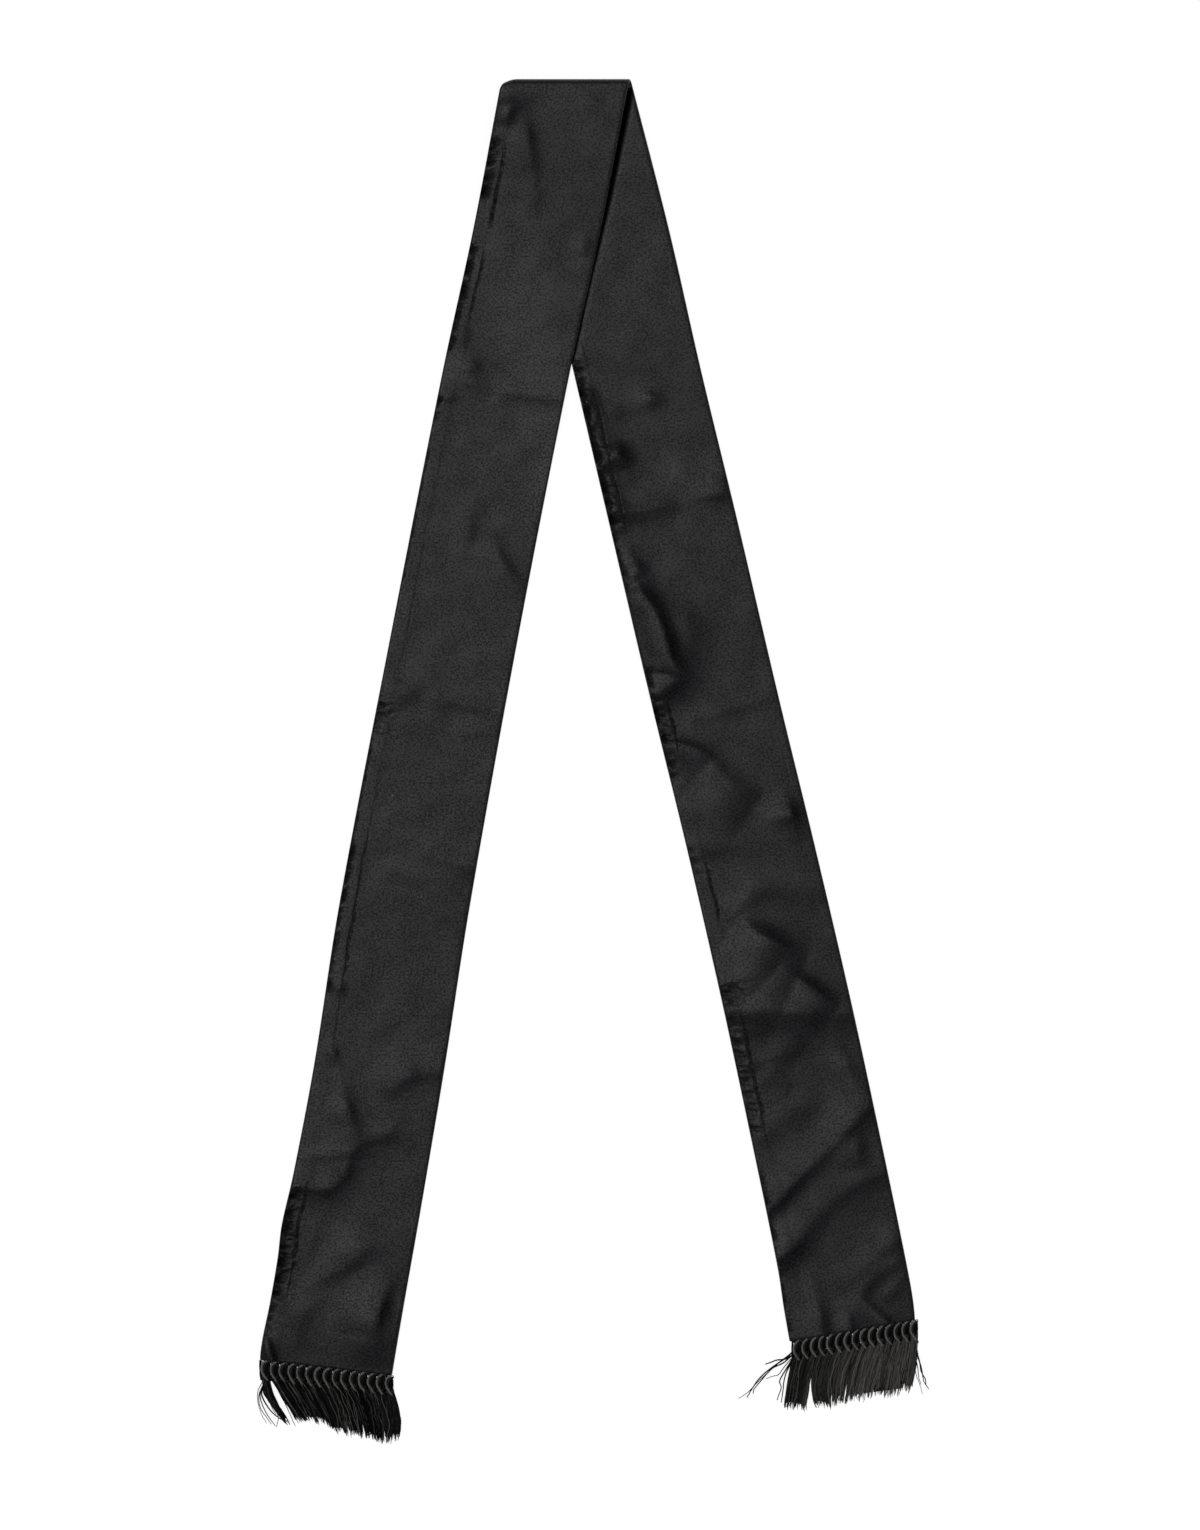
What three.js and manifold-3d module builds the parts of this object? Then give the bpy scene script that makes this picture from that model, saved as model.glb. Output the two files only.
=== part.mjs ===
// A fringed evening scarf: a narrow silk satin tube, pressed flat, folded over once and laid down in two legs,
// with a row of knotted tassels along the hem of each leg. The left leg lies on top of the right one.
// Millimetres. The floor is z = 0. Seen from above, +X is to the right and +Y is towards the fold.
// The origin is the middle of the scarf's footprint, on the floor.

import * as THREE from 'three';
import { mergeVertices } from 'three/addons/utils/BufferGeometryUtils.js';
import Module from 'manifold-3d';

const wasm = await Module();
wasm.setup();

// Cloth
const WALL = 1.6; // two layers of satin, pressed together
const GAP = 0.35; // clearance between pieces, and under cloth that lies on cloth
const THINNEST_WALL = 1.1;
const THICKEST_WALL = 2.8;
const WIDTH = 80; // of the pressed tube: it turns a share of the width into a distance

// Fold over, at the far end of both legs
const FOLD_REACH = 435.3; // from the origin to the outside of the fold
const FOLD_RADIUS = 2.6; // from the axis of the fold to the middle of the wall
const FOLD_CORNER = { width: 0.12, drop: 3.2 }; // the fold's left corner is rounded off
const FOLD_LINE = FOLD_REACH - FOLD_RADIUS - WALL / 2;

// How the upper leg comes down from the fold: its underside is this far above its resting height
// at the fold, and has settled after this distance
const LOFT_AT_FOLD = 2 * FOLD_RADIUS - WALL - GAP;
const SETTLES_OVER = 130;
// To the left of the hidden edge of the lower leg the upper one comes down to the floor
const STEP_STARTS = 2;
const STEP_ENDS = 44;

// Legs, as seen from above: where their two edges are at each height y
const LEFT_LEG_EDGES = [
  { y: 430, left: -57.1, right: 24.1 },
  { y: 340, left: -74.2, right: 6.9 },
  { y: 250, left: -93.6, right: -12.6 },
  { y: 80, left: -127.1, right: -45.8 },
  { y: -90, left: -159.5, right: -76.3 },
  { y: -190, left: -175.2, right: -91.9 },
  { y: -260, left: -188.5, right: -103.6 },
  { y: -292, left: -195.8, right: -109.1 },
  { y: -313, left: -198.4, right: -112.8 },
  { y: -340, left: -203.0, right: -117.6 },
  { y: -374, left: -209.4, right: -123.4 },
  { y: -392, left: -208.0, right: -126.4 },
];
const RIGHT_LEG_EDGES = [
  { y: 430, left: -54.3, right: 27.2 },
  { y: 340, left: -31.8, right: 50.2 },
  { y: 250, left: -10.6, right: 70.7 },
  { y: 160, left: 10.5, right: 92.5 },
  { y: 40, left: 38.7, right: 120.6 },
  { y: -50, left: 60.7, right: 142.5 },
  { y: -150, left: 83.6, right: 165.8 },
  { y: -240, left: 102.8, right: 185.2 },
  { y: -320, left: 119.2, right: 201.7 },
  { y: -345, left: 123.0, right: 205.8 },
  { y: -370, left: 127.4, right: 207.0 },
];

// Hems: the height y of each hem's middle, and how far it rises from its left end to its right end
const LEFT_HEM = { y: -383.3, rise: -10 };
const RIGHT_HEM = { y: -359.9, rise: 13.8 };
const HEM_TURNS_OVER = 110; // rows of cloth turn from level to parallel with the hem over this length
const HEM_CORNER = { width: 0.05, lift: 2.2 };

// Seam along the left edge of both legs: the turned-in allowance stands proud, with a groove beside it
const SEAM_BAND = { ends: 0.13, height: 0.22 };
const SEAM_GROOVE = { at: 0.165, width: 2.4, depth: 0.35 };

// A line straight across a leg isn't level: it rises by this much from the leg's left edge to its right edge
const LEFT_ACROSS_RISE = -15.9;
const RIGHT_ACROSS_RISE = 19.2;

// Main creases of each leg: a ridge (height above 0) or a groove (below 0) of this half-width,
// from (u1, y1) to (u2, y2), where u is the share of the leg's width from its left edge and y is the height
// at which the line straight across the leg there meets the leg's middle
const LEFT_LEG_CREASES = [
  { u1: 0.0, y1: 236, u2: 1.0, y2: 232, halfWidth: 4, height: -0.35 },
  { u1: 0.7, y1: 143, u2: 0.92, y2: 123, halfWidth: 7, height: 0.45 },
  { u1: 0.0, y1: 40, u2: 1.0, y2: 36, halfWidth: 4, height: -0.4 },
  { u1: 0.0, y1: -52, u2: 1.0, y2: -60, halfWidth: 7, height: 0.35 },
  { u1: 0.92, y1: -191, u2: 0.66, y2: -204, halfWidth: 7, height: 0.3 },
  { u1: 0.72, y1: -228, u2: 0.44, y2: -248, halfWidth: 9, height: 0.6 },
  { u1: 0.44, y1: -248, u2: 0.31, y2: -272, halfWidth: 10, height: 0.7 },
  { u1: 0.31, y1: -272, u2: 0.04, y2: -279, halfWidth: 8, height: 0.5 },
  { u1: 0.92, y1: -316, u2: 0.82, y2: -346, halfWidth: 8, height: 0.5 },
  { u1: 0.2, y1: -368, u2: 0.27, y2: -378, halfWidth: 4, height: -0.4 },
];
const RIGHT_LEG_CREASES = [
  { u1: 0.0, y1: 160, u2: 1.0, y2: 165, halfWidth: 5, height: -0.4 },
  { u1: 0.2, y1: 120, u2: 0.26, y2: 70, halfWidth: 10, height: 0.7 },
  { u1: 0.26, y1: 70, u2: 0.12, y2: 49, halfWidth: 8, height: 0.5 },
  { u1: 0.14, y1: 24, u2: 0.4, y2: 0, halfWidth: 8, height: 0.5 },
  { u1: 0.4, y1: 0, u2: 0.56, y2: -30, halfWidth: 8, height: 0.6 },
  { u1: 0.56, y1: -30, u2: 0.92, y2: -40, halfWidth: 9, height: 0.7 },
  { u1: 0.3, y1: -92, u2: 0.68, y2: -121, halfWidth: 9, height: 0.6 },
  { u1: 0.6, y1: -126, u2: 0.9, y2: -156, halfWidth: 8, height: 0.5 },
  { u1: 0.1, y1: -155, u2: 0.95, y2: -169, halfWidth: 7, height: -0.45 },
  { u1: 0.08, y1: -275, u2: 0.5, y2: -256, halfWidth: 8, height: 0.6 },
  { u1: 0.5, y1: -256, u2: 0.95, y2: -231, halfWidth: 8, height: 0.7 },
  { u1: 0.05, y1: -310, u2: 0.46, y2: -283, halfWidth: 8, height: 0.5 },
  { u1: 0.46, y1: -283, u2: 0.95, y2: -272, halfWidth: 8, height: 0.5 },
  { u1: 0.33, y1: -345, u2: 0.32, y2: -362, halfWidth: 5, height: 0.4 },
  { u1: 0.54, y1: -340, u2: 0.52, y2: -358, halfWidth: 5, height: 0.4 },
  { u1: 0.76, y1: -338, u2: 0.74, y2: -355, halfWidth: 6, height: 0.45 },
];

// Mesh of the cloth: where its columns are across the width, and how far apart its rows are
const COLUMNS = [0.015, 0.06, 0.13, 0.165, 0.2, 0.36, 0.52, 0.68, 0.84, 0.94, 0.985];
const EDGE_LIFT = [0.4, 0.1]; // how much the first and second column from an edge round it off
const ROW_STEP = 15;
const OVERLAP_ROW_STEP = 10; // on the upper leg, where it lies on the lower one
const OVERLAP_ENDS = 240;
const FOLD_STEPS = 6;

// Tassels. Their lean, bow and length are given at some numbers along the row, and run evenly between them:
// lean is how far the tip lies to the right of the knot, bow how far the middle lies beside that line,
// and fullness the share of the space between the neighbours that the locks take up
const TASSELS = 15;
const TASSEL = {
  knotHeight: 3.3,
  neckHeight: 2.3,
  lockHeight: 2.1,
  tipHeight: 0.9,
  headLength: 9.4,
  widestLock: 3.1,
};
const NECK = 0.86; // of the knot's width
const LEFT_FRINGE = {
  firstKnot: -206.2,
  lastKnot: -127.6,
  rows: [
    { number: 1, lean: 16, bow: -3.4, length: 38.5, fullness: 0.6 },
    { number: 2, lean: 18.2, bow: 0.4, length: 37.6, fullness: 1 },
    { number: 5, lean: 15.2, bow: 1, length: 36.4, fullness: 1 },
    { number: 7, lean: 13.2, bow: 1.4, length: 42.2, fullness: 1 },
    { number: 11, lean: 9.4, bow: 1.8, length: 42.6, fullness: 1 },
    { number: 13, lean: 6.2, bow: 2, length: 45.6, fullness: 1 },
    { number: 14, lean: 4.8, bow: 2.2, length: 44.2, fullness: 1 },
    { number: 15, lean: 3.6, bow: 2.4, length: 41.5, fullness: 1 },
  ],
};
const RIGHT_FRINGE = {
  firstKnot: 131.4,
  lastKnot: 205.6,
  rows: [
    { number: 1, lean: -6, bow: -0.8, length: 43.5, fullness: 1 },
    { number: 3, lean: -6.8, bow: -1.6, length: 46.2, fullness: 1 },
    { number: 4, lean: -1.7, bow: -3.6, length: 46.4, fullness: 1 },
    { number: 6, lean: -6, bow: -3, length: 47.6, fullness: 1 },
    { number: 8, lean: -10, bow: -2.2, length: 45, fullness: 1 },
    { number: 10, lean: -9.9, bow: -1.4, length: 46.2, fullness: 1 },
    { number: 14, lean: -5.2, bow: -0.2, length: 47.4, fullness: 1 },
    { number: 15, lean: -4.2, bow: 0.4, length: 46, fullness: 0.9 },
  ],
};

// Colours, from pale grey light on black silk
const SATIN = { color: 0x2b2b2e, roughness: 0.42, metalness: 0 };
const THREAD = { color: 0x1f1f21, roughness: 0.5, metalness: 0 };

const { clamp, lerp, smoothstep } = THREE.MathUtils;

// A smooth curve through one column of a table whose key runs evenly up or down
function smoothTable(rows, key, column) {
  const points = rows.map((row) => ({ at: row[key], value: row[column] })).sort((a, b) => a.at - b.at);
  const slopes = points.map((point, i) => {
    const before = points[Math.max(i - 1, 0)];
    const after = points[Math.min(i + 1, points.length - 1)];
    return (after.value - before.value) / (after.at - before.at);
  });
  return (at) => {
    let i = 0;
    while (i < points.length - 2 && at > points[i + 1].at) i += 1;
    const start = points[i];
    const end = points[i + 1];
    const span = end.at - start.at;
    const t = (at - start.at) / span;
    if (t < 0) return start.value + slopes[i] * (at - start.at);
    if (t > 1) return end.value + slopes[i + 1] * (at - end.at);
    const rest = 1 - t;
    return (
      start.value * rest * rest * (1 + 2 * t) +
      end.value * t * t * (3 - 2 * t) +
      slopes[i] * span * t * rest * rest -
      slopes[i + 1] * span * t * t * rest
    );
  };
}

// Straight lines through one column of a table
function straightTable(rows, key, column) {
  return (at) => {
    let i = 0;
    while (i < rows.length - 2 && at > rows[i + 1][key]) i += 1;
    const share = (at - rows[i][key]) / (rows[i + 1][key] - rows[i][key]);
    return lerp(rows[i][column], rows[i + 1][column], share);
  };
}

function makeLeg(edges, shape) {
  return { left: smoothTable(edges, 'y', 'left'), right: smoothTable(edges, 'y', 'right'), ...shape };
}

const leftLeg = makeLeg(LEFT_LEG_EDGES, {
  hem: LEFT_HEM,
  acrossRise: LEFT_ACROSS_RISE,
  creases: LEFT_LEG_CREASES,
});
const rightLeg = makeLeg(RIGHT_LEG_EDGES, {
  hem: RIGHT_HEM,
  acrossRise: RIGHT_ACROSS_RISE,
  creases: RIGHT_LEG_CREASES,
});

// 1 at the edge of the cloth, 0 from a share `width` inwards
function nearEdge(share, width) {
  return Math.max(0, 1 - share / width) ** 2;
}

function foldLine(u) {
  return FOLD_LINE - FOLD_CORNER.drop * nearEdge(u, FOLD_CORNER.width);
}

function hemLine(leg, u) {
  const corner = HEM_CORNER.lift * nearEdge(Math.min(u, 1 - u), HEM_CORNER.width);
  return leg.hem.y + leg.hem.rise * (u - 0.5) + corner;
}

// The place on a leg at share u of its width, on the row whose middle is at height rowY
function onLeg(leg, rowY, u) {
  const nearHem = 1 - smoothstep(rowY, leg.hem.y, leg.hem.y + HEM_TURNS_OVER);
  const nearFold = smoothstep(rowY, FOLD_LINE - HEM_TURNS_OVER, FOLD_LINE);
  const y = rowY + (hemLine(leg, u) - leg.hem.y) * nearHem + (foldLine(u) - FOLD_LINE) * nearFold;
  return { x: lerp(leg.left(y), leg.right(y), u), y };
}

// Distance on the cloth to a crease, in millimetres, from share u of the width on the line across at `station`
function distanceToCrease(crease, u, station) {
  const alongX = (crease.u2 - crease.u1) * WIDTH;
  const alongY = crease.y2 - crease.y1;
  const fromX = (u - crease.u1) * WIDTH;
  const fromY = station - crease.y1;
  const share = clamp((fromX * alongX + fromY * alongY) / (alongX ** 2 + alongY ** 2), 0, 1);
  return Math.hypot(fromX - share * alongX, fromY - share * alongY);
}

function bump(distance, halfWidth) {
  return Math.exp(-((distance / halfWidth) ** 2));
}

function wallThickness(leg, u, y) {
  let thickness = WALL;
  thickness += SEAM_BAND.height * (1 - smoothstep(u, SEAM_BAND.ends - 0.03, SEAM_BAND.ends + 0.03));
  thickness -= SEAM_GROOVE.depth * bump((u - SEAM_GROOVE.at) * WIDTH, SEAM_GROOVE.width);
  const station = y - leg.acrossRise * (u - 0.5);
  for (const crease of leg.creases) {
    thickness += crease.height * bump(distanceToCrease(crease, u, station), crease.halfWidth);
  }
  return clamp(thickness, THINNEST_WALL, THICKEST_WALL);
}

// Height of the upper leg's underside: it rests on the lower leg, or on the floor beside it,
// and comes down to both from the loft of the fold
function underside(x, y, u) {
  const loft = LOFT_AT_FOLD * (1 - smoothstep(foldLine(u) - y, 0, SETTLES_OVER));
  const pastEdge = rightLeg.left(y) - x;
  return loft + (WALL + GAP) * (1 - smoothstep(pastEdge, STEP_STARTS, STEP_ENDS));
}

function isUnderLeftLeg(x, y) {
  return x < leftLeg.right(y) + 2 * WALL;
}

function edgeLift(column) {
  const fromEdge = Math.min(column, COLUMNS.length - 1 - column);
  return EDGE_LIFT[fromEdge] ?? 0;
}

// One row of the tube's mesh is a closed ring of points: the left edge, the outside of the fold's cloth from
// left to right, the right edge, and the inside from right to left
function ring(wallAt) {
  const outside = [];
  const inside = [];
  COLUMNS.forEach((u, column) => {
    const wall = wallAt(u, edgeLift(column));
    outside.push(wall.outside);
    inside.push(wall.inside);
  });
  const middle = (u) => {
    const wall = wallAt(u, 0);
    return wall.outside.clone().lerp(wall.inside, 0.5);
  };
  return [middle(0), ...outside, middle(1), ...inside.reverse()];
}

// On the upper leg the outside is the face that shows
function upperRow(rowY) {
  return ring((u, lift) => {
    const { x, y } = onLeg(leftLeg, rowY, u);
    const low = underside(x, y, u);
    const thickness = wallThickness(leftLeg, u, y);
    return {
      outside: new THREE.Vector3(x, y, low + thickness - lift),
      inside: new THREE.Vector3(x, y, low + lift),
    };
  });
}

// On the lower leg the outside is the face on the floor, and the creases stay clear of the cloth above
function lowerRow(rowY) {
  return ring((u, lift) => {
    const { x, y } = onLeg(rightLeg, rowY, u);
    const thickness = isUnderLeftLeg(x, y) ? WALL : wallThickness(rightLeg, u, y);
    return {
      outside: new THREE.Vector3(x, y, lift),
      inside: new THREE.Vector3(x, y, thickness - lift),
    };
  });
}

// Across the fold the wall turns half a circle, from the upper leg to the lower one
function foldRow(turn) {
  const radial = new THREE.Vector3(0, Math.sin(turn), Math.cos(turn));
  return ring((u, lift) => {
    const above = onLeg(leftLeg, FOLD_LINE, u);
    const below = onLeg(rightLeg, FOLD_LINE, u);
    const axis = new THREE.Vector3(lerp(above.x, below.x, turn / Math.PI), above.y, FOLD_RADIUS + WALL / 2);
    return {
      outside: axis.clone().addScaledVector(radial, FOLD_RADIUS + WALL / 2 - lift),
      inside: axis.clone().addScaledVector(radial, FOLD_RADIUS - WALL / 2 + lift),
    };
  });
}

// Heights from one y to another in even steps near `step`, leaving out the last
function evenHeights(from, to, step) {
  const count = Math.ceil(Math.abs(to - from) / step);
  return Array.from({ length: count }, (_, i) => lerp(from, to, i / count));
}

function tubeRings() {
  const upperHeights = [
    ...evenHeights(LEFT_HEM.y, OVERLAP_ENDS, ROW_STEP),
    ...evenHeights(OVERLAP_ENDS, FOLD_LINE, OVERLAP_ROW_STEP),
  ];
  const lowerHeights = [...evenHeights(RIGHT_HEM.y, FOLD_LINE, ROW_STEP)].reverse();
  const turns = Array.from({ length: FOLD_STEPS + 1 }, (_, i) => (Math.PI * i) / FOLD_STEPS);
  return [...upperHeights.map(upperRow), ...turns.map(foldRow), ...lowerHeights.map(lowerRow)];
}

// A closed skin over rings of points. Each ring runs from left to right over the top and back below,
// and the rings follow each other towards +Y
function skin(rings) {
  const count = rings[0].length;
  const positions = rings.flat().flatMap((point) => [point.x, point.y, point.z]);
  const faces = [];
  for (let row = 0; row < rings.length - 1; row += 1) {
    for (let i = 0; i < count; i += 1) {
      const next = (i + 1) % count;
      const a = row * count + i;
      const b = row * count + next;
      faces.push(a, b, b + count, a, b + count, a + count);
    }
  }
  const last = (rings.length - 1) * count;
  for (let a = 0; a < count / 2; a += 1) {
    const b = a + 1;
    const c = count - a - 1;
    const d = (count - a) % count;
    if (b !== c) faces.push(a, c, b, last + a, last + b, last + c);
    if (a !== d) faces.push(a, d, c, last + a, last + c, last + d);
  }
  const geometry = new THREE.BufferGeometry();
  geometry.setAttribute('position', new THREE.Float32BufferAttribute(positions, 3));
  geometry.setIndex(faces);
  return geometry;
}

function toSolid(geometry) {
  const merged = mergeVertices(geometry);
  const vertProperties = new Float32Array(merged.getAttribute('position').array);
  const triVerts = new Uint32Array(merged.getIndex().array);
  return new wasm.Manifold(new wasm.Mesh({ numProp: 3, vertProperties, triVerts }));
}

function toGeometry(solid) {
  const mesh = solid.getMesh();
  const geometry = new THREE.BufferGeometry();
  geometry.setAttribute('position', new THREE.Float32BufferAttribute(mesh.vertProperties, 3));
  geometry.setIndex(Array.from(mesh.triVerts));
  geometry.computeVertexNormals();
  return geometry;
}

// A fringe's tassels, each with its place along the hem
function makeLanes(leg, fringe) {
  const column = (name) => straightTable(fringe.rows, 'number', name);
  const [lean, bow, length, fullness] = ['lean', 'bow', 'length', 'fullness'].map(column);
  const hemLeft = onLeg(leg, leg.hem.y, 0);
  const hemRight = onLeg(leg, leg.hem.y, 1);
  const slope = leg.hem.rise / (hemRight.x - hemLeft.x);
  const middle = (hemLeft.x + hemRight.x) / 2;
  const pitch = (fringe.lastKnot - fringe.firstKnot) / (TASSELS - 1);
  return Array.from({ length: TASSELS }, (_, i) => ({
    knot: fringe.firstKnot + i * pitch,
    knotHalfWidth: (pitch - GAP) / 2,
    lean: lean(i + 1),
    bow: bow(i + 1),
    length: length(i + 1),
    fullness: fullness(i + 1),
    hemAt: (x) => leg.hem.y + slope * (x - middle),
  }));
}

// Where the middle of a tassel is, `below` the hem
function laneCentre(lane, below) {
  const share = clamp((below - TASSEL.headLength) / (lane.length - TASSEL.headLength), 0, 1);
  return lane.knot + lane.lean * share + lane.bow * Math.sin(Math.PI * share);
}

// Half the width that a tassel's locks may take up, so that they stay clear of the neighbours
function laneHalfWidth(lanes, i, below) {
  const centre = laneCentre(lanes[i], below);
  const spaces = [lanes[i - 1], lanes[i + 1]]
    .filter(Boolean)
    .map((neighbour) => Math.abs(laneCentre(neighbour, below) - centre));
  return Math.min(TASSEL.widestLock, ...spaces.map((space) => (space - GAP) / 2)) * lanes[i].fullness;
}

// Outline of a tassel's sections, flat where it lies on the floor: x is a share of the half-width,
// z a share of the height
const TASSEL_OUTLINE = [
  { x: -1, z: 0.4 },
  { x: -0.55, z: 1 },
  { x: 0.55, z: 1 },
  { x: 1, z: 0.4 },
  { x: 0.7, z: 0 },
  { x: -0.7, z: 0 },
];

// One section, parallel to the hem
function section(lane, { below, centre, halfWidth, height }) {
  return TASSEL_OUTLINE.map(({ x, z }) => {
    const across = centre + x * halfWidth;
    return new THREE.Vector3(across, lane.hemAt(across) - below, z * height);
  });
}

// The head: the loop of threads at the hem, the knot, and the neck where the locks come out of it
function tasselHead(lane) {
  const { knotHeight, neckHeight, headLength } = TASSEL;
  const sections = [
    { below: GAP, width: 0.84, height: 0.62 * knotHeight },
    { below: 0.22 * headLength, width: 0.97, height: 0.95 * knotHeight },
    { below: 0.6 * headLength, width: 1, height: knotHeight },
    { below: headLength, width: NECK, height: neckHeight },
  ];
  const rings = sections.map(({ below, width, height }) =>
    section(lane, { below, centre: lane.knot, halfWidth: width * lane.knotHalfWidth, height }),
  );
  return skin(rings.reverse());
}

// One lock: side is -1 for a tassel's left lock and 1 for its right one. The two overlap by the knot
// and part towards the tips
function tasselLock(lanes, i, side, reach) {
  const lane = lanes[i];
  const { headLength, neckHeight, lockHeight, tipHeight } = TASSEL;
  const shares = [0, 0.2, 0.6, 1];
  const sections = shares.map((share) => {
    const below = lerp(0.8 * headLength, lane.length * reach, share);
    const full = share === 0 ? 0.9 * NECK * lane.knotHalfWidth : laneHalfWidth(lanes, i, below);
    const halfWidth = full * lerp(0.56, 0.44, share);
    const centre = laneCentre(lane, below) + side * (full - halfWidth);
    const height = share === 0 ? 0.8 * neckHeight : lerp(lockHeight, tipHeight, share);
    return { below, centre, halfWidth, height };
  });
  return skin(sections.map((at) => section(lane, at)).reverse());
}

function tasselGeometry(lanes, i) {
  const reaches = i % 2 ? [1, 0.955] : [0.965, 1];
  const head = toSolid(tasselHead(lanes[i]));
  const locks = [-1, 1].map((side, j) => toSolid(tasselLock(lanes, i, side, reaches[j])));
  return toGeometry(locks.reduce((whole, lock) => whole.add(lock), head));
}

function addTassels(group, leg, fringe, prefix) {
  const lanes = makeLanes(leg, fringe);
  lanes.forEach((_, i) => {
    const mesh = new THREE.Mesh(tasselGeometry(lanes, i), new THREE.MeshStandardMaterial(THREAD));
    mesh.name = `${prefix}_${String(i + 1).padStart(2, '0')}`;
    group.add(mesh);
  });
}

function silkTube() {
  const geometry = skin(tubeRings());
  geometry.computeVertexNormals();
  const mesh = new THREE.Mesh(geometry, new THREE.MeshStandardMaterial(SATIN));
  mesh.name = 'silk_tube';
  return mesh;
}

const scarf = new THREE.Group();
scarf.add(silkTube());
addTassels(scarf, leftLeg, LEFT_FRINGE, 'tassel_left');
addTassels(scarf, rightLeg, RIGHT_FRINGE, 'tassel_right');

export default scarf;
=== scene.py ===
"""A black silk evening scarf: a narrow tube of satin, pressed flat, folded over once and laid down in two
legs, with a row of knotted tassels along the hem of each leg.

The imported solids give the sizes. This script replaces them with finer cloth and single threads in the same
frame. Its tables and named values are in millimetres, and each mesh is scaled to metres when it is made.
Seen from above, +X is to the right and +Y is towards the fold."""

import math

import bpy
import numpy as np
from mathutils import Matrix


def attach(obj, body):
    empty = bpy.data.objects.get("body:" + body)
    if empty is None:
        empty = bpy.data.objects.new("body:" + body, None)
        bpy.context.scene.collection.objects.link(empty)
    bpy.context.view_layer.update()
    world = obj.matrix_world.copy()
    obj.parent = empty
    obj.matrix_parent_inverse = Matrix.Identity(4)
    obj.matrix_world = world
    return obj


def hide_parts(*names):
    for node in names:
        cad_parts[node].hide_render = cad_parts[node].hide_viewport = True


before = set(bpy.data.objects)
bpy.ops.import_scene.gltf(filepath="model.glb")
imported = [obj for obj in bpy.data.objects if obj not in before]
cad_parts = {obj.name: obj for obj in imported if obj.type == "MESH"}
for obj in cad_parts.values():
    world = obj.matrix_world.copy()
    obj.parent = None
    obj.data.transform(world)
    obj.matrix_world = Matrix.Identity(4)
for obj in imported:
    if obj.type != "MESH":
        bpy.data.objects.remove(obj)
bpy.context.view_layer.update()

MM = 0.001


def table(columns, rows):
    """Rows with named columns, as dictionaries."""
    return [dict(zip(columns.split(), row)) for row in rows]


# Cloth, as in the solids
WALL = 1.6
GAP = 0.35
THINNEST_WALL = 0.9
WIDTH = 80

# Fold at the far end of both legs
FOLD_REACH = 435.3
FOLD_RADIUS = 2.6
FOLD_CORNER = {"width": 0.12, "drop": 3.2}
FOLD_LINE = FOLD_REACH - FOLD_RADIUS - WALL / 2
LOFT_AT_FOLD = 2 * FOLD_RADIUS - WALL - GAP
SETTLES_OVER = 130
STEP_STARTS = 2
STEP_ENDS = 44
RELIEF_STARTS = 14  # creases fade in over this distance below the fold
RELIEF_BESIDE_EDGE = (1, 6)  # and between these distances from the upper leg's edge

# Edges of the legs at each height y
LEFT_LEG_EDGES = table("y left right", [
    (430, -57.1, 24.1), (340, -74.2, 6.9), (250, -93.6, -12.6), (80, -127.1, -45.8), (-90, -159.5, -76.3),
    (-190, -175.2, -91.9), (-260, -188.5, -103.6), (-292, -195.8, -109.1), (-313, -198.4, -112.8),
    (-340, -203, -117.6), (-374, -209.4, -123.4), (-392, -208, -126.4),
])
RIGHT_LEG_EDGES = table("y left right", [
    (430, -54.3, 27.2), (340, -31.8, 50.2), (250, -10.6, 70.7), (160, 10.5, 92.5), (40, 38.7, 120.6),
    (-50, 60.7, 142.5), (-150, 83.6, 165.8), (-240, 102.8, 185.2), (-320, 119.2, 201.7),
    (-345, 123, 205.8), (-370, 127.4, 207),
])
LEFT_HEM = {"y": -383.3, "rise": -10}
RIGHT_HEM = {"y": -359.9, "rise": 13.8}
HEM_TURNS_OVER = 110
HEM_CORNER = {"width": 0.05, "lift": 1.1}

CROTCH = 252  # height at which the legs part

# A line straight across a leg rises by this much from its left edge to its right edge
LEFT_ACROSS_RISE = -15.9
RIGHT_ACROSS_RISE = 19.2

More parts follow.
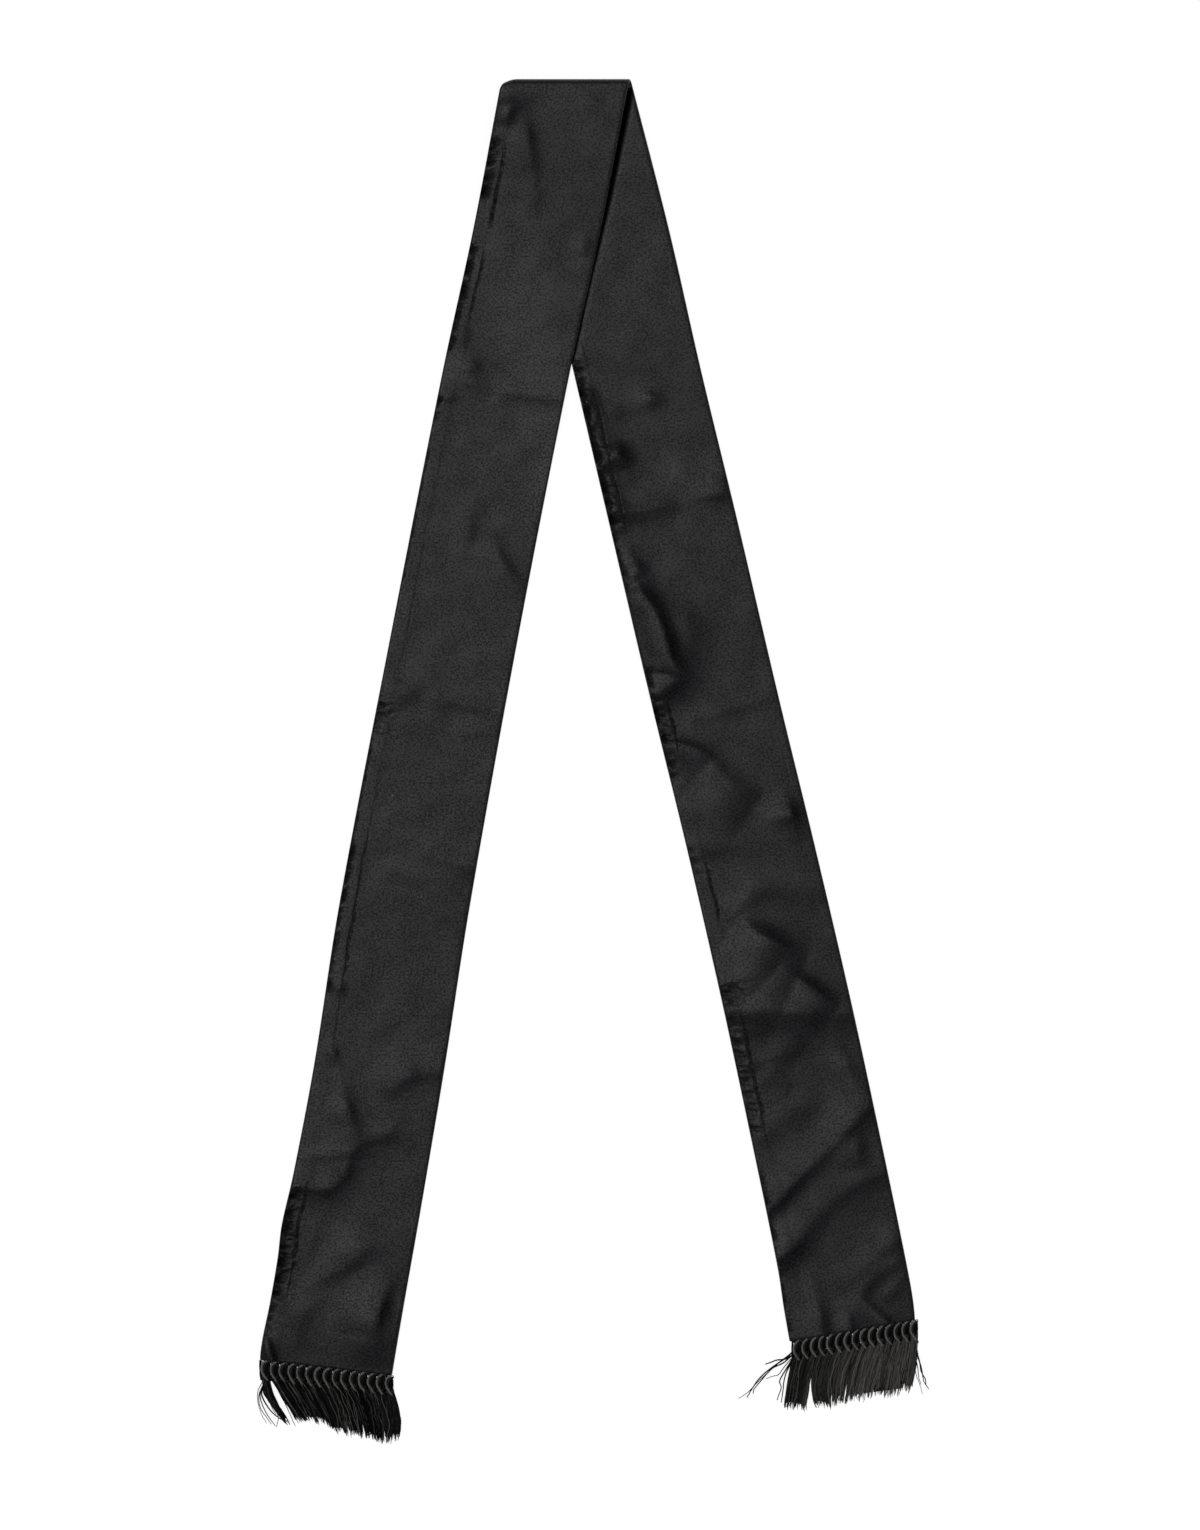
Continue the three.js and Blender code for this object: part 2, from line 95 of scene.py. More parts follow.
# Creases: each follows its path over (share of the width, station, strength), where the station is the
# height at which the line straight across the leg meets the leg's middle. To the path's left, as it is
# walked, the cloth falls over `steep`, and to its right it rises over `gentle`. A fall of strength 1 has
# this slope
STEEPEST_FALL = 0.24
CREASE_STEPS = 6  # straight pieces of a crease between two of its points
FOOT = 2.2  # the fall is steepest at this fraction, 1 / FOOT, of its width, and has a long soft foot
LEFT_LEG_CREASES = table("path gentle steep", [
    ([(0.62, 430, 0.3), (0.74, 427, 0.6), (0.86, 423, 0.2)], 8, 3),
    ([(0.28, 428, 0.4), (0.2, 416, 0.5), (0.13, 407, 0.9), (0.12, 398, 0.3)], 9, 6),
    ([(0.27, 404, 0.4), (0.31, 396, 1), (0.35, 387, 0.8), (0.40, 376, 0.5), (0.44, 365, 0.35),
      (0.48, 352, 0.1)], 16, 3.6),
    ([(0.93, 342, 0.2), (0.92, 335, 0.5), (0.92, 328, 0.1)], 6, 4),
    ([(0.11, 268, 0.3), (0.17, 258, 0.2), (0.25, 250, 0.6), (0.28, 244, 0.2)], 10, 6),
    ([(1, 237.5, 0.35), (0.75, 236.5, 0.4), (0.55, 235.5, 0.4), (0.42, 236, 0.15), (0.15, 235, 0.25),
      (0, 233, 0.2)], 8, 5.5),
    ([(0.17, 226, 0.3), (0.08, 225, 0.8), (0, 224, 0.8)], 5, 2.4),
    ([(0.49, 156, 0.2), (0.487, 147, 0.5), (0.48, 136, 0.2)], 10, 5),
    ([(0.69, 147, 0.2), (0.74, 139, 0.7), (0.81, 132, 0.8), (0.9, 126, 0.6)], 14, 3.6),
    ([(0.15, 97, 0.2), (0.15, 88, 0.2)], 8, 4),
    ([(0.45, 58, 0.1), (0.39, 49, 0.25), (0.35, 42, 0.05)], 14, 9),
    ([(1, 38.5, 0.3), (0.7, 39, 0.35), (0.45, 38, 0.35), (0.34, 38, 0.05), (0.2, 38.5, 0.45),
      (0, 38, 0.3)], 8, 5),
    ([(0.15, 31, 0.6), (0.08, 30, 0.7), (0, 30.5, 0.3)], 5, 2.6),
    ([(0.95, 27, 0.15), (0.7, 22, 0.3)], 7, 4),
    ([(1, -60, 0.4), (0.55, -60, 0.25), (0, -57, 0.3)], 6, 9),
    ([(0.97, -88, 0.3), (0.7, -79, 0.3), (0.36, -73, 0.2)], 7, 10),
    ([(0.12, -143, 0.2), (0.125, -147, 1), (0.14, -152, 0.3)], 4, 2.6),
    ([(0.13, -184, 0.3), (0.15, -188, 1), (0.19, -193, 0.3)], 4, 2.8),
    ([(0.97, -190, 0.5), (0.85, -193, 0.4), (0.75, -197, 0.6), (0.66, -204, 0.4)], 13, 7),
    ([(0.27, -205, 0.2), (0.30, -213, 0.5), (0.345, -221, 0.9), (0.41, -231, 0.5)], 12, 6),
    ([(0.72, -224, 0.2), (0.68, -233, 0.5), (0.55, -239, 0.6), (0.45, -245, 0.8), (0.425, -252, 0.8),
      (0.42, -260, 0.9), (0.375, -268, 0.7), (0.31, -274, 0.9), (0.2, -276, 0.7), (0.04, -278, 0.8)],
      20, 5.4),
    ([(0.67, -246, 0.1), (0.33, -251, 0.4), (0.05, -258, 0.4)], 5, 2.6),
    ([(0.27, -300, 0.2), (0.25, -311, 0.4), (0.22, -322, 0.1)], 9, 4),
    ([(0.66, -307, 0.2), (0.58, -317, 0.45), (0.39, -329, 0.4)], 16, 5),
    ([(0.92, -318, 0.2), (0.88, -328, 0.7), (0.86, -337, 1.3), (0.845, -347, 1.3), (0.85, -358, 0.5)],
      24, 4.4),
    ([(0.36, -346, 0.2), (0.3, -354, 0.4), (0.28, -366, 0.3)], 16, 8),
    ([(0.03, -370, 0.8), (0.07, -376, 1.7), (0.11, -384, 1.7)], 5, 3),
    ([(0.03, -346, 0.6), (0.03, -310, 0.9), (0.03, -281, 0.8)], 8, 3),
    ([(0.56, -320, 0.05), (0.5, -307, 0.28), (0.49, -296, 0.05)], 14, 12),
    ([(0.72, -380, 0.05), (0.68, -359, 0.3), (0.68, -332, 0.05)], 24, 20),
    ([(0.05, -83, 0.1), (0.4, -79, 0.2), (0.9, -90, 0.15)], 24, 7),
    ([(0.1, -60, 0.1), (0.45, -63, 0.2), (0.8, -64, 0.05)], 24, 6),
])
RIGHT_LEG_CREASES = table("path gentle steep", [
    ([(0.03, 160, 0.6), (0.03, 190, 1.6), (0.03, 243, 1.8)], 6, 3),
    ([(0.03, 22, 0.4), (0.03, 45, 0.8), (0.03, 70, 0.3)], 6, 2.6),
    ([(0.04, 240, 0.8), (0.14, 236, 0.6), (0.25, 234, 0.4)], 7, 4),
    ([(0.52, 236.5, 0.3), (0.57, 233.5, 0.9), (0.63, 230.5, 0.4)], 6, 3.6),
    ([(0.62, 229, 0.2), (0.4, 227, 0.25), (0.25, 225, 0.25), (0.15, 221, 0.1)], 7, 4),
    ([(0.22, 213, 0.3), (0.235, 203, 1.4), (0.24, 193, 0.3)], 14, 7.5),
    ([(0.69, 182, 0.3), (0.9, 175, 0.3)], 10, 6),
    ([(0.11, 174, 0.8), (0.16, 170, 0.5), (0.24, 166, 0.2)], 8, 4),
    ([(1, 161, 0.4), (0.92, 162, 0.6), (0.75, 163, 0.3), (0.6, 163, 0.15), (0.45, 163, 0.5),
      (0.2, 164, 0.7), (0.05, 165, 0.6)], 9, 5.4),
    ([(0.14, 139, 0.3), (0.17, 132, 1), (0.2, 126, 0.3)], 9, 4.4),
    ([(0.13, 124, 0.5), (0.17, 116, 1.3), (0.23, 104, 1.35), (0.26, 88, 1.5), (0.265, 75, 1.5),
      (0.295, 67, 1.25), (0.31, 60, 0.8), (0.2, 54, 1), (0.1, 51, 0.9)], 14, 7.6),
    ([(0.33, 112, 0.1), (0.47, 96, 0.35), (0.47, 80, 0.35), (0.38, 62, 0.2)], 14, 12),
    ([(1, 32, 0.2), (0.3, 31, 0.3)], 6, 3.4),
    ([(0.1, 24, 0.6), (0.14, 22, 1), (0.23, 18, 1), (0.33, 12, 0.8), (0.40, 5, 0.5)], 11, 5.4),
    ([(0.36, 6, 0.05), (0.43, -2, 0.4), (0.5, -10, 0.6), (0.59, -18, 0.4), (0.66, -24, 0.05)], 26, 9),
    ([(0.87, -20, 0.1), (0.895, -30, 0.6), (0.905, -38, 1.3), (0.905, -46, 0.7), (0.89, -58, 0.1)],
      12, 5.2),
    ([(0.5, -52, 0.05), (0.2, -50, 0.25), (0, -49, 0.4)], 8, 5),
    ([(0.27, -62, 0.2), (0.55, -73, 0.4), (0.87, -84, 0.2)], 10, 5),
    ([(0.56, -84, 0.15), (0.44, -85, 0.3), (0.35, -90, 0.3)], 10, 8),
    ([(0.3, -92, 0.2), (0.38, -99, 0.85), (0.5, -108, 1.25), (0.62, -116, 0.95), (0.75, -124, 0.1)],
      50, 8.6),
    ([(0.54, -125, 0.1), (0.62, -134, 0.85), (0.72, -143, 1.15), (0.82, -152, 0.95), (0.9, -160, 0.1)],
      36, 6.8),
    ([(0.97, -170, 0.5), (0.72, -166, 0.45), (0.44, -160, 0.5), (0.19, -155, 0.4), (0.03, -152, 0.2)],
      8, 9),
    ([(0.66, -180, 0.2), (0.4, -183, 0.3), (0.1, -184, 0.4)], 8, 4),
    ([(0.31, -190, 0.4), (0.37, -200, 0.4), (0.33, -205, 0.2)], 8, 4),
    ([(0.86, -187, 0.3), (0.89, -196, 0.5), (0.91, -207, 0.3)], 11, 5),
    ([(0.45, -220, 0.2), (0.12, -230, 0.2)], 10, 9),
    ([(0.97, -228, 0.9), (0.79, -237, 0.8), (0.66, -244, 0.5), (0.52, -251, 0.7), (0.33, -260, 0.95),
      (0.15, -270, 1.15), (0.02, -275, 1)], 17, 4.6),
    ([(0.86, -242, 0.4), (0.83, -252, 0.6), (0.83, -262, 0.2)], 14, 7),
    ([(0.97, -270, 0.6), (0.71, -274, 0.45), (0.52, -281, 0.4), (0.33, -292, 0.6), (0.18, -301, 1.1),
      (0.02, -308, 1)], 15, 6),
    ([(0.95, -314, 0.5), (0.77, -320, 0.35), (0.5, -332, 0.2)], 10, 6),
    ([(0.95, -325, 0.5), (0.74, -332, 0.5), (0.64, -340, 0.7), (0.69, -348, 0.9), (0.79, -358, 1.1)],
      8, 4.6),
    ([(0.96, -335, 0.4), (0.85, -344, 0.4)], 7, 4),
    ([(0.28, -322, 0.2), (0.3, -338, 0.5), (0.3, -350, 0.9), (0.3, -362, 1)], 12, 5.4),
    ([(0.49, -344, 0.4), (0.51, -352, 0.8), (0.52, -362, 1)], 9, 4.4),
])

# Seam along the left edge of both legs: the turned-in allowance stands proud, with a stitched groove
# beside it whose depth comes and goes along the leg
SEAM_BAND = {"height": 0.1, "fades": (0.11, 0.16)}
SEAM_GROOVE = {"from_edge": 10.2, "half_width": 0.8, "depth": 0.8, "strays": 3.2, "squareness": 4}
LEFT_LEG_SEAM = table("station depth", [
    (430, 0), (388, 0.1), (378, 0.35), (352, 0.8), (340, 0.8), (334, 0.05), (322, 0.1), (312, 0.4),
    (285, 0.35), (272, 0), (110, 0.06), (90, 0.15), (78, 0.03), (-48, 0.05), (-58, 0.35), (-90, 0.25),
    (-102, 0.45), (-132, 0.4), (-146, 0.1), (-270, 0), (-284, 0.7), (-312, 0.7), (-330, 0.3), (-352, 0),
    (-384, 0),
])
RIGHT_LEG_SEAM = table("station depth", [
    (430, 0), (240, 0.1), (230, 0.3), (168, 0.3), (150, 0), (52, 0), (46, 0.7), (24, 0.7), (14, 0),
    (-54, 0.05), (-62, 0.5), (-86, 0.5), (-94, 0), (-150, 0), (-158, 0.7), (-174, 0.8), (-186, 0.3),
    (-208, 0.7), (-222, 0.2), (-240, 0), (-360, 0),
])

# Puckers in the seam's edge, each stretch with how far they reach over the cloth
PUCKER_DEPTH = 1.3
PUCKER_FADE = 2  # on either side of a stretch's ends
LEFT_LEG_PUCKERS = table("top bottom reach strength", [
    (389, 352, 5, 1), (321, 288, 4.6, 1), (286, 256, 3.4, 0.9), (226, 212, 3, 0.8), (200, 110, 1.6, 0.4),
    (34, 12, 9, 0.55), (10, -56, 2, 0.4), (-56, -96, 3, 0.9), (-96, -152, 3, 0.6), (-276, -346, 7.5, 1),
    (-346, -372, 4, 0.5),
])
RIGHT_LEG_PUCKERS = table("top bottom reach strength", [
    (264, 160, 5.4, 1), (160, 120, 3, 0.6), (72, 48, 4, 0.7), (50, 22, 7, 1), (22, -4, 5, 0.6),
    (-44, -62, 4, 0.5), (-132, -144, 14, 0.6), (-150, -226, 9, 0.5), (-250, -300, 3, 0.5),
    (-305, -360, 2.4, 0.5),
])

# Slow waves of the whole cloth
WAVES = table("across along height phase", [
    (95, 130, 0.07, 0.4),
    (-60, 74, 0.04, 2.1),
    (33, -48, 0.02, 4.4),
    (210, 27, 0.012, 1.2),
])

# Beside the upper leg's edge the lower leg swells up out of a trough, most of all at the fold
# The trough's darkness is painted shade in the satin's colour and gloss
SWELL = {"least": 0.5, "most": 1.6, "slope": 0.34, "starts": 285, "full": 428}
SWELL_FADES = {"crotch": 10, "fold": (2, 12)}
LEAST_SLOPE_WIDTH = 0.01
PAINTED_SHADE_ENDS = (0.5, 1.15)  # shares of the slope's width between which the painted shade beside the edge fades out
CLEAR = 5  # of the painted shade, in the same measure
SHADOW_ENDS = (0.5, 2.2)  # strengths of a crease's fall between which it sinks into painted shadow

# What the material is told about each point of the cloth, for its relief and its painted shade
MARKS = ("pucker", "seam", "clear", "fall")

# Mesh of the cloth
EDGE_ROUNDING = 1.1
EDGE_COLUMNS = (0.08, 0.3, 0.65)
RIM_BULGE = 0.3  # of the outermost column's width
SEAM_SIDE_ENDS = 0.2
SEAM_SIDE_COLUMNS = 11
PLAIN_COLUMNS = 34
ROW_STEP = 1.9
FOLD_STEPS = 14

# Tassels, as in the solids
TASSELS = sum(node.startswith("tassel_left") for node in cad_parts)  # on each leg
HEAD = {"height": 3.3, "neck_height": 2.3, "length": 9.4}
KNOT_CLEARANCE = 0.05
WIDEST_LOCK = 3.1
# Each tassel's tone is painted light and shade: the same thread is darker along the left fringe and paler
# along the right, palest towards its right end
LEFT_FRINGE = {
    "first_knot": -206.2,
    "last_knot": -127.6,
    "rows": table("number lean bow length fullness tone", [
        (1, 16, -3.4, 39.5, 0.75, 0.01),
        (2, 18.2, 0.4, 37.6, 1, 0.015),
        (5, 15.2, 1, 36.4, 1, 0.015),
        (7, 13.2, 1.4, 42.2, 1, 0.03),
        (11, 9.4, 1.8, 42.6, 1, 0.008),
        (13, 6.2, 2, 45.6, 1, 0.005),
        (14, 4.8, 2.2, 44.2, 1, 0.05),
        (15, 3.6, 2.4, 41.5, 1, 0.07),
    ]),
}
RIGHT_FRINGE = {
    "first_knot": 131.4,
    "last_knot": 205.6,
    "rows": table("number lean bow length fullness tone", [
        (1, -6, -0.8, 43.5, 1, 0.1),
        (3, -6.8, -1.6, 46.2, 1, 0.14),
        (4, -1.7, -3.6, 46.4, 1, 0.2),
        (6, -6, -3, 47.6, 1, 0.3),
        (8, -9.2, -2.2, 45, 1, 0.42),
        (10, -9.9, -1.4, 46.2, 1, 0.48),
        (14, -5.2, -0.2, 47.4, 1, 0.48),
        (15, -4.2, 0.4, 46, 0.9, 0.36),
    ]),
}

# Threads of a tassel: most lie in twisted strands side by side, and a few lie loose on top
STRANDS = 6
THREADS_IN_STRAND = 8
LOOSE_THREADS = 9
STRAND_FILL = 1.5  # of the strand's share of the tassel's width
STRAND_TWIST = 0.16  # radians for each millimetre
THREAD_RADIUS = (0.17, 0.26)
THREAD_POINTS = 24
THREAD_SIDES = 5
LOCK_SPREAD = 1.34  # beyond the tassel's own share of the fringe, so that neighbours mingle
LOCK_HEIGHT = 1.9
LOOSE_HEIGHT = 2.2
WAVE_LENGTHS = (31, 17, 9)
STRAND_SWAY = 0.5  # how far a strand strays sideways from its place
LOOSE_SWAY = 0.9
SWAY_STRENGTHS = (0.2, 1)
PLACE_JITTER = 0.06
THREAD_STARTS = 0.78  # in the knot, as a share of the head's length
NECK = 0.774  # width of the threads at the neck, as a share of the knot's
LOCK_OPENS = (-1.5, 6)  # from above the neck to below it the strands spread out
TIP_SETTLES = 0.55  # height of the pile at the tips, as a share of its height at the neck
STRAND_LIFT = (0.3, 1)  # how high in the pile a strand lies
THREAD_TIP = 0.55  # of the radius
FLOOR_GAP = 0.05
SHORTEST_STRAND = 0.9  # of the tassel's length
SHORTEST_THREAD = 0.84  # of its strand's
PALE_STRANDS = 0.26  # share of the strands that are paler than the rest
PALE_TONE = 0.8  # of these, beside the palest strand's on a knot
TONE_SPREADS = {"strand": (0.25, 1.9), "pale_strand": (0.3, 1), "thread": (0.75, 1.25)}

# The many threads that lie under the ones that show, as one form in the darkest tone, which is painted shade
BED = {"starts": 8, "ends": 0.87, "width": 1.24, "height": 0.9, "steps": 26, "narrows_to": 0.8, "blunt": 6}

# A knot: a twisted core, and the thick strands that show on it
CORE_PROFILE = table("below width height", [
    (0.05, 0.8, 0.5), (1.2, 0.84, 0.64), (2.8, 0.88, 0.74), (5, 0.9, 0.76), (7.2, 0.88, 0.7),
    (9.4, 0.84, 0.56), (12, 0.8, 0.34),
])
CORE_SHIFT = 0.14  # to the right, of the half-width
CORE_SIDES = 28
CORE_STEPS = 22
CORE_STRANDS = 7
CORE_GROOVE = 0.12
CORE_LEVEL = 0.8  # share of a groove's height at which the core has its plain width
CORE_TWIST = 0.34  # radians for each millimetre
# Painted shade: the darkest tone, taken by the knot cores and the bed under the threads
PAINTED_SHADE_TONE = 0
KNOT_UNEVEN = {"lean": 0.08, "across": 0.05, "along": 0.15, "radius": 0.15}
# Each strand's points are (share of the half-width, distance below the hem, share of the height)
# Strand tones are painted light: the thick strand that bows down the left flank is palest, a painted
# highlight
KNOT_STRANDS = table("radius tone points", [
    (0.42, 0, [(-1.05, 0.4, 0.26), (-0.5, 0.4, 0.28), (0, 0.4, 0.28), (0.5, 0.4, 0.28),
      (1.05, 0.4, 0.26)]),
    (0.62, 1, [(0.45, -0.5, 0.66), (0, 0.1, 0.82), (-0.42, 1.2, 0.88), (-0.7, 2.9, 0.86),
      (-0.78, 4.8, 0.84), (-0.66, 6.7, 0.86), (-0.32, 8.5, 0.86), (0.14, 10.2, 0.74), (0.6, 12, 0.5)]),
    (0.75, 0, [(-1, -0.7, 0.26), (-1.04, 3, 0.3), (-1.04, 6, 0.3), (-1, 9, 0.28),
      (-0.8, 12, 0.24)]),
    (0.3, 0.2, [(0.6, 0, 0.66), (0.16, 1.2, 0.84), (-0.2, 2.8, 0.92), (-0.34, 4.8, 0.92),
      (-0.22, 7, 0.9), (0.14, 9.1, 0.82), (0.6, 11, 0.6)]),
    (0.3, 0.08, [(0.1, 0, 0.6), (0.6, 1.2, 0.76), (0.86, 3.6, 0.7), (0.86, 6.2, 0.66),
      (0.5, 8.6, 0.76), (0.1, 10.4, 0.6)]),
    (0.28, 0.2, [(0.95, 8, 0.4), (0.75, 8.9, 0.72), (0.1, 9.7, 0.84), (-0.6, 10.2, 0.7),
      (-0.9, 10.4, 0.36)]),
    (0.26, 0.45, [(0.1, 1, 0.72), (0.3, 0.1, 0.74), (0.5, -0.6, 0.66), (0.8, -0.7, 0.62),
      (0.95, -0.3, 0.6), (1, 0.5, 0.5)]),
    (0.24, 0.3, [(-0.2, 8.4, 0.8), (0.1, 9.6, 0.84), (0.5, 10.8, 0.74), (0.9, 12.4, 0.56),
      (1.2, 14.4, 0.5)]),
])
STRAND_POINTS = 24
STRAND_SIDES = 8

# Stray threads: the tassel that they come from, and the points that they pass, as x and y
STRAY = {"tone": 0.03, "curl": 0.12, "leaves_at": 1.1, "floor_gap": 0.04, "taper": (1.3, 0.7)}
LEFT_STRAYS = table("tassel radius points", [
    (1, 0.23, [(-207.4, -391), (-210.6, -397), (-211, -404), (-208.6, -413), (-205.2, -419)]),
    (1, 0.29, [(-207, -393), (-210.2, -400), (-209.4, -408), (-205.6, -414), (-202.6, -418.4)]),
    (1, 0.35, [(-206.8, -392), (-209.4, -399), (-207.4, -407), (-202.8, -414), (-198.4, -419.4)]),
    (1, 0.49, [(-206.4, -391), (-208.6, -399), (-205.6, -406.6), (-201.4, -413.4), (-196.6, -418)]),
    (1, 0.52, [(-206, -391), (-207.2, -398), (-203.4, -404.4), (-198.6, -411), (-194.6, -417.6)]),
    (1, 0.52, [(-205.6, -392), (-206, -398), (-201.4, -404), (-197, -410), (-193.8, -417)]),
    (1, 0.43, [(-205, -393), (-203.4, -399), (-198.6, -404.6), (-194, -411), (-190.2, -418.4)]),
    (1, 0.29, [(-205.4, -396), (-204.6, -403), (-200.6, -408), (-198, -414), (-199.6, -420)]),
    (2, 0.29, [(-198, -393), (-196.4, -399), (-193.4, -406), (-190.4, -413), (-187.6, -420)]),
])
RIGHT_STRAYS = table("tassel radius points", [
    (1, 0.49, [(130.2, -371), (124.6, -376.2), (117, -381.4), (108.4, -388), (102, -396.2),
      (98.2, -401.6)]),
    (1, 0.29, [(129.6, -372), (122.4, -377.6), (114.8, -384.4), (107, -391.6), (101, -398.4),
      (95.6, -402.8)]),
    (1, 0.41, [(130, -373), (123, -379.6), (116.4, -383), (110.2, -389.6), (104.6, -396.6),
      (103, -400.4)]),
    (1, 0.49, [(129.8, -374), (123.8, -377.2), (118.6, -377.8), (114, -379.6), (111.6, -380.6)]),
    (1, 0.29, [(129.4, -375), (124, -381.4), (119.8, -387), (116, -388.4), (111, -390.8)]),
    (1, 0.43, [(129.2, -376), (124.8, -383.4), (120.6, -391), (121.4, -396), (118.4, -404)]),
    (1, 0.43, [(129.8, -376), (126.2, -382.4), (123.4, -389), (122.4, -397), (121, -405)]),
    (15, 0.43, [(207.2, -372), (209, -378), (210, -384.4), (212.4, -389), (213.2, -393.8)]),
    (15, 0.35, [(206.8, -373), (209.8, -380.4), (211.2, -386.4), (211.8, -391.4), (214.6, -396.4)]),
    (15, 0.29, [(206.6, -375), (208.2, -383), (208.6, -388.6), (209.6, -394)]),
    (15, 0.23, [(206.4, -377), (206.6, -386), (208.2, -392.4), (210, -399.6)]),
])

# Colours, as linear light
# Painted shade: colour of the satin beside the upper leg's edge, in dents, in the seam's groove and on
# crease falls
SATIN_PAINTED_SHADE = (0.0006, 0.0006, 0.0007, 1)
FULL_GLOSS = (1, 1, 1, 1)
PAINTED_SHADE_GLOSS = (0.12, 0.12, 0.12, 1)  # what the painted shade keeps of the gloss
SATIN_DARK = (0.0020, 0.0020, 0.0024, 1)
SATIN_LIGHT = (0.0460, 0.0455, 0.0505, 1)
# Threads go from the dark to the light colour with their tone, which is partly painted light and shade
THREAD_DARK = (0.0022, 0.0022, 0.0024, 1)
THREAD_LIGHT = (0.27, 0.262, 0.248, 1)
LINT = {"colour": (0.25, 0.25, 0.25, 1), "cells": 42, "size": 0.022, "bare_cells": 0.8}

# Noise in the materials: how the place is stretched, and the noise's scale to the metre
SATIN_NOISE = table("name stretch scale detail roughness", [
    ("floats", (1, 0.12, 1), 5200, 1, 0.5),
    ("picks", (0.1, 1, 1), 3000, 1, 0.5),
    ("grain", (1, 1, 1), 760, 3, 0.7),
    ("mottle", (1, 1, 1), 60, 3, 0.55),
    ("strays", (0, 1, 1), 60, 2, 0.5),
    ("stitches", (0, 1, 1), 240, 1, 0.5),
    ("dents", (0.6, 1, 1), 140, 1.5, 0.5),
])
THREAD_NOISE = table("name stretch scale detail roughness", [
    ("twist", (1, 0.5, 1), 5200, 1, 0.5),
    ("uneven", (1, 1, 1), 420, 2, 0.5),
])
FLOOR_NOISE = table("name stretch scale detail roughness", [("paper", (1, 1, 1), 300, 2, 0.5)])

# Depth of the relief that a noise makes, below 0 where it sinks in
BUMPS = {
    "mottle": 0.2,
    "grain": 0.07,
    "dent": -PUCKER_DEPTH,
    "groove": -SEAM_GROOVE["depth"],
    "picks": 0.01,
    "floats": 0.01,
    "twist": 0.06,
    "paper": 0.02,
}

# How much of each noise there is in the satin's unevenness
UNEVEN_SHARES = {"grain": 0.85, "mottle": 0.15}

# Spans of a noise's values, and what they are turned into where this isn't 0 to 1
UNEVEN = (0.44, 0.56)
SATIN_ROUGHNESS = (0.38, 0.24)
STITCHES = (0.35, 0.6, 0.35, 1)
DENTS = (0.32, 0.6)
UNEVEN_THREAD = (0.3, 0.7)
THREAD_SHADES = (0.75, 1)
THREAD_ROUGHNESS = (0.34, 0.48)

# Floor: a white sheet, with its side in metres
FLOOR_COLOUR = (0.8, 0.8, 0.8, 1)
FLOOR_LIGHT = (1, 1, 1, 1)
FLOOR_GLOW = 0.8
FLOOR_SIDE = 12

# Camera: straight above, in metres
CAMERA_HEIGHT = 5
PICTURE_CENTRE_X = 0.00635
PICTURE_HEIGHT = 0.97155  # on the floor, from the top of the picture to the bottom
SENSOR = 36

# Light: a broad soft source almost overhead, a little towards the picture's upper left, in degrees
SOFT_LIGHT = {"off_zenith": 9.5, "azimuth": 145, "spread": 21, "strength": 0.34}
SKY_OVERHEAD = (0.04, 0.04, 0.042, 1)
SKY_HORIZON = (0.75, 0.75, 0.76, 1)
SKY_DARKENS_UP_TO = 0.8  # height on the unit sphere from which the sky is at its darkest

SEED = 11


def smoothstep(x, start, end):
    """0 up to start, 1 from end on, and smooth between."""
    share = np.clip((x - start) / (end - start), 0, 1)
    return share * share * (3 - 2 * share)


def step_at(x, at, half_width):
    return smoothstep(x, at - half_width, at + half_width)


def lerp(a, b, share):
    return a + (b - a) * share


def smooth_table(rows, key, column):
    """A smooth curve through one column of a table."""
    points = sorted((row[key], row[column]) for row in rows)
    at = np.array([point[0] for point in points], float)
    value = np.array([point[1] for point in points], float)
    before = np.maximum(np.arange(len(at)) - 1, 0)
    after = np.minimum(np.arange(len(at)) + 1, len(at) - 1)
    slopes = (value[after] - value[before]) / (at[after] - at[before])

    def curve(x):
        x = np.asarray(x, float)
        i = np.clip(np.searchsorted(at, x) - 1, 0, len(at) - 2)
        span = at[i + 1] - at[i]
        t = (x - at[i]) / span
        rest = 1 - t
        inside = (
            value[i] * rest * rest * (1 + 2 * t)
            + value[i + 1] * t * t * (3 - 2 * t)
            + slopes[i] * span * t * rest * rest
            - slopes[i + 1] * span * t * t * rest
        )
        low_side = value[0] + slopes[0] * (x - at[0])
        high_side = value[-1] + slopes[-1] * (x - at[-1])
        return np.where(t < 0, low_side, np.where(t > 1, high_side, inside))

    return curve


def straight_table(rows, key, column):
    """Straight lines through one column of a table."""
    points = sorted((row[key], row[column]) for row in rows)
    at, value = zip(*points)
    return lambda x: np.interp(x, at, value)


def smooth_path(points, count):
    """`count` points, evenly spaced in the path's own measure, on a smooth curve through `points`."""
    points = np.array(points, float)
    padded = np.vstack([2 * points[0] - points[1], points, 2 * points[-1] - points[-2]])
    at = np.linspace(0, len(points) - 1, count)
    i = np.minimum(at.astype(int), len(points) - 2)
    t = (at - i)[:, None]
    p0, p1, p2, p3 = (padded[i + k] for k in range(4))
    return 0.5 * (
        2 * p1 + (p2 - p0) * t + (2 * p0 - 5 * p1 + 4 * p2 - p3) * t**2 + (3 * p1 - p0 - 3 * p2 + p3) * t**3
    )


def make_leg(edges, **shape):
    return {"left": smooth_table(edges, "y", "left"), "right": smooth_table(edges, "y", "right"), **shape}


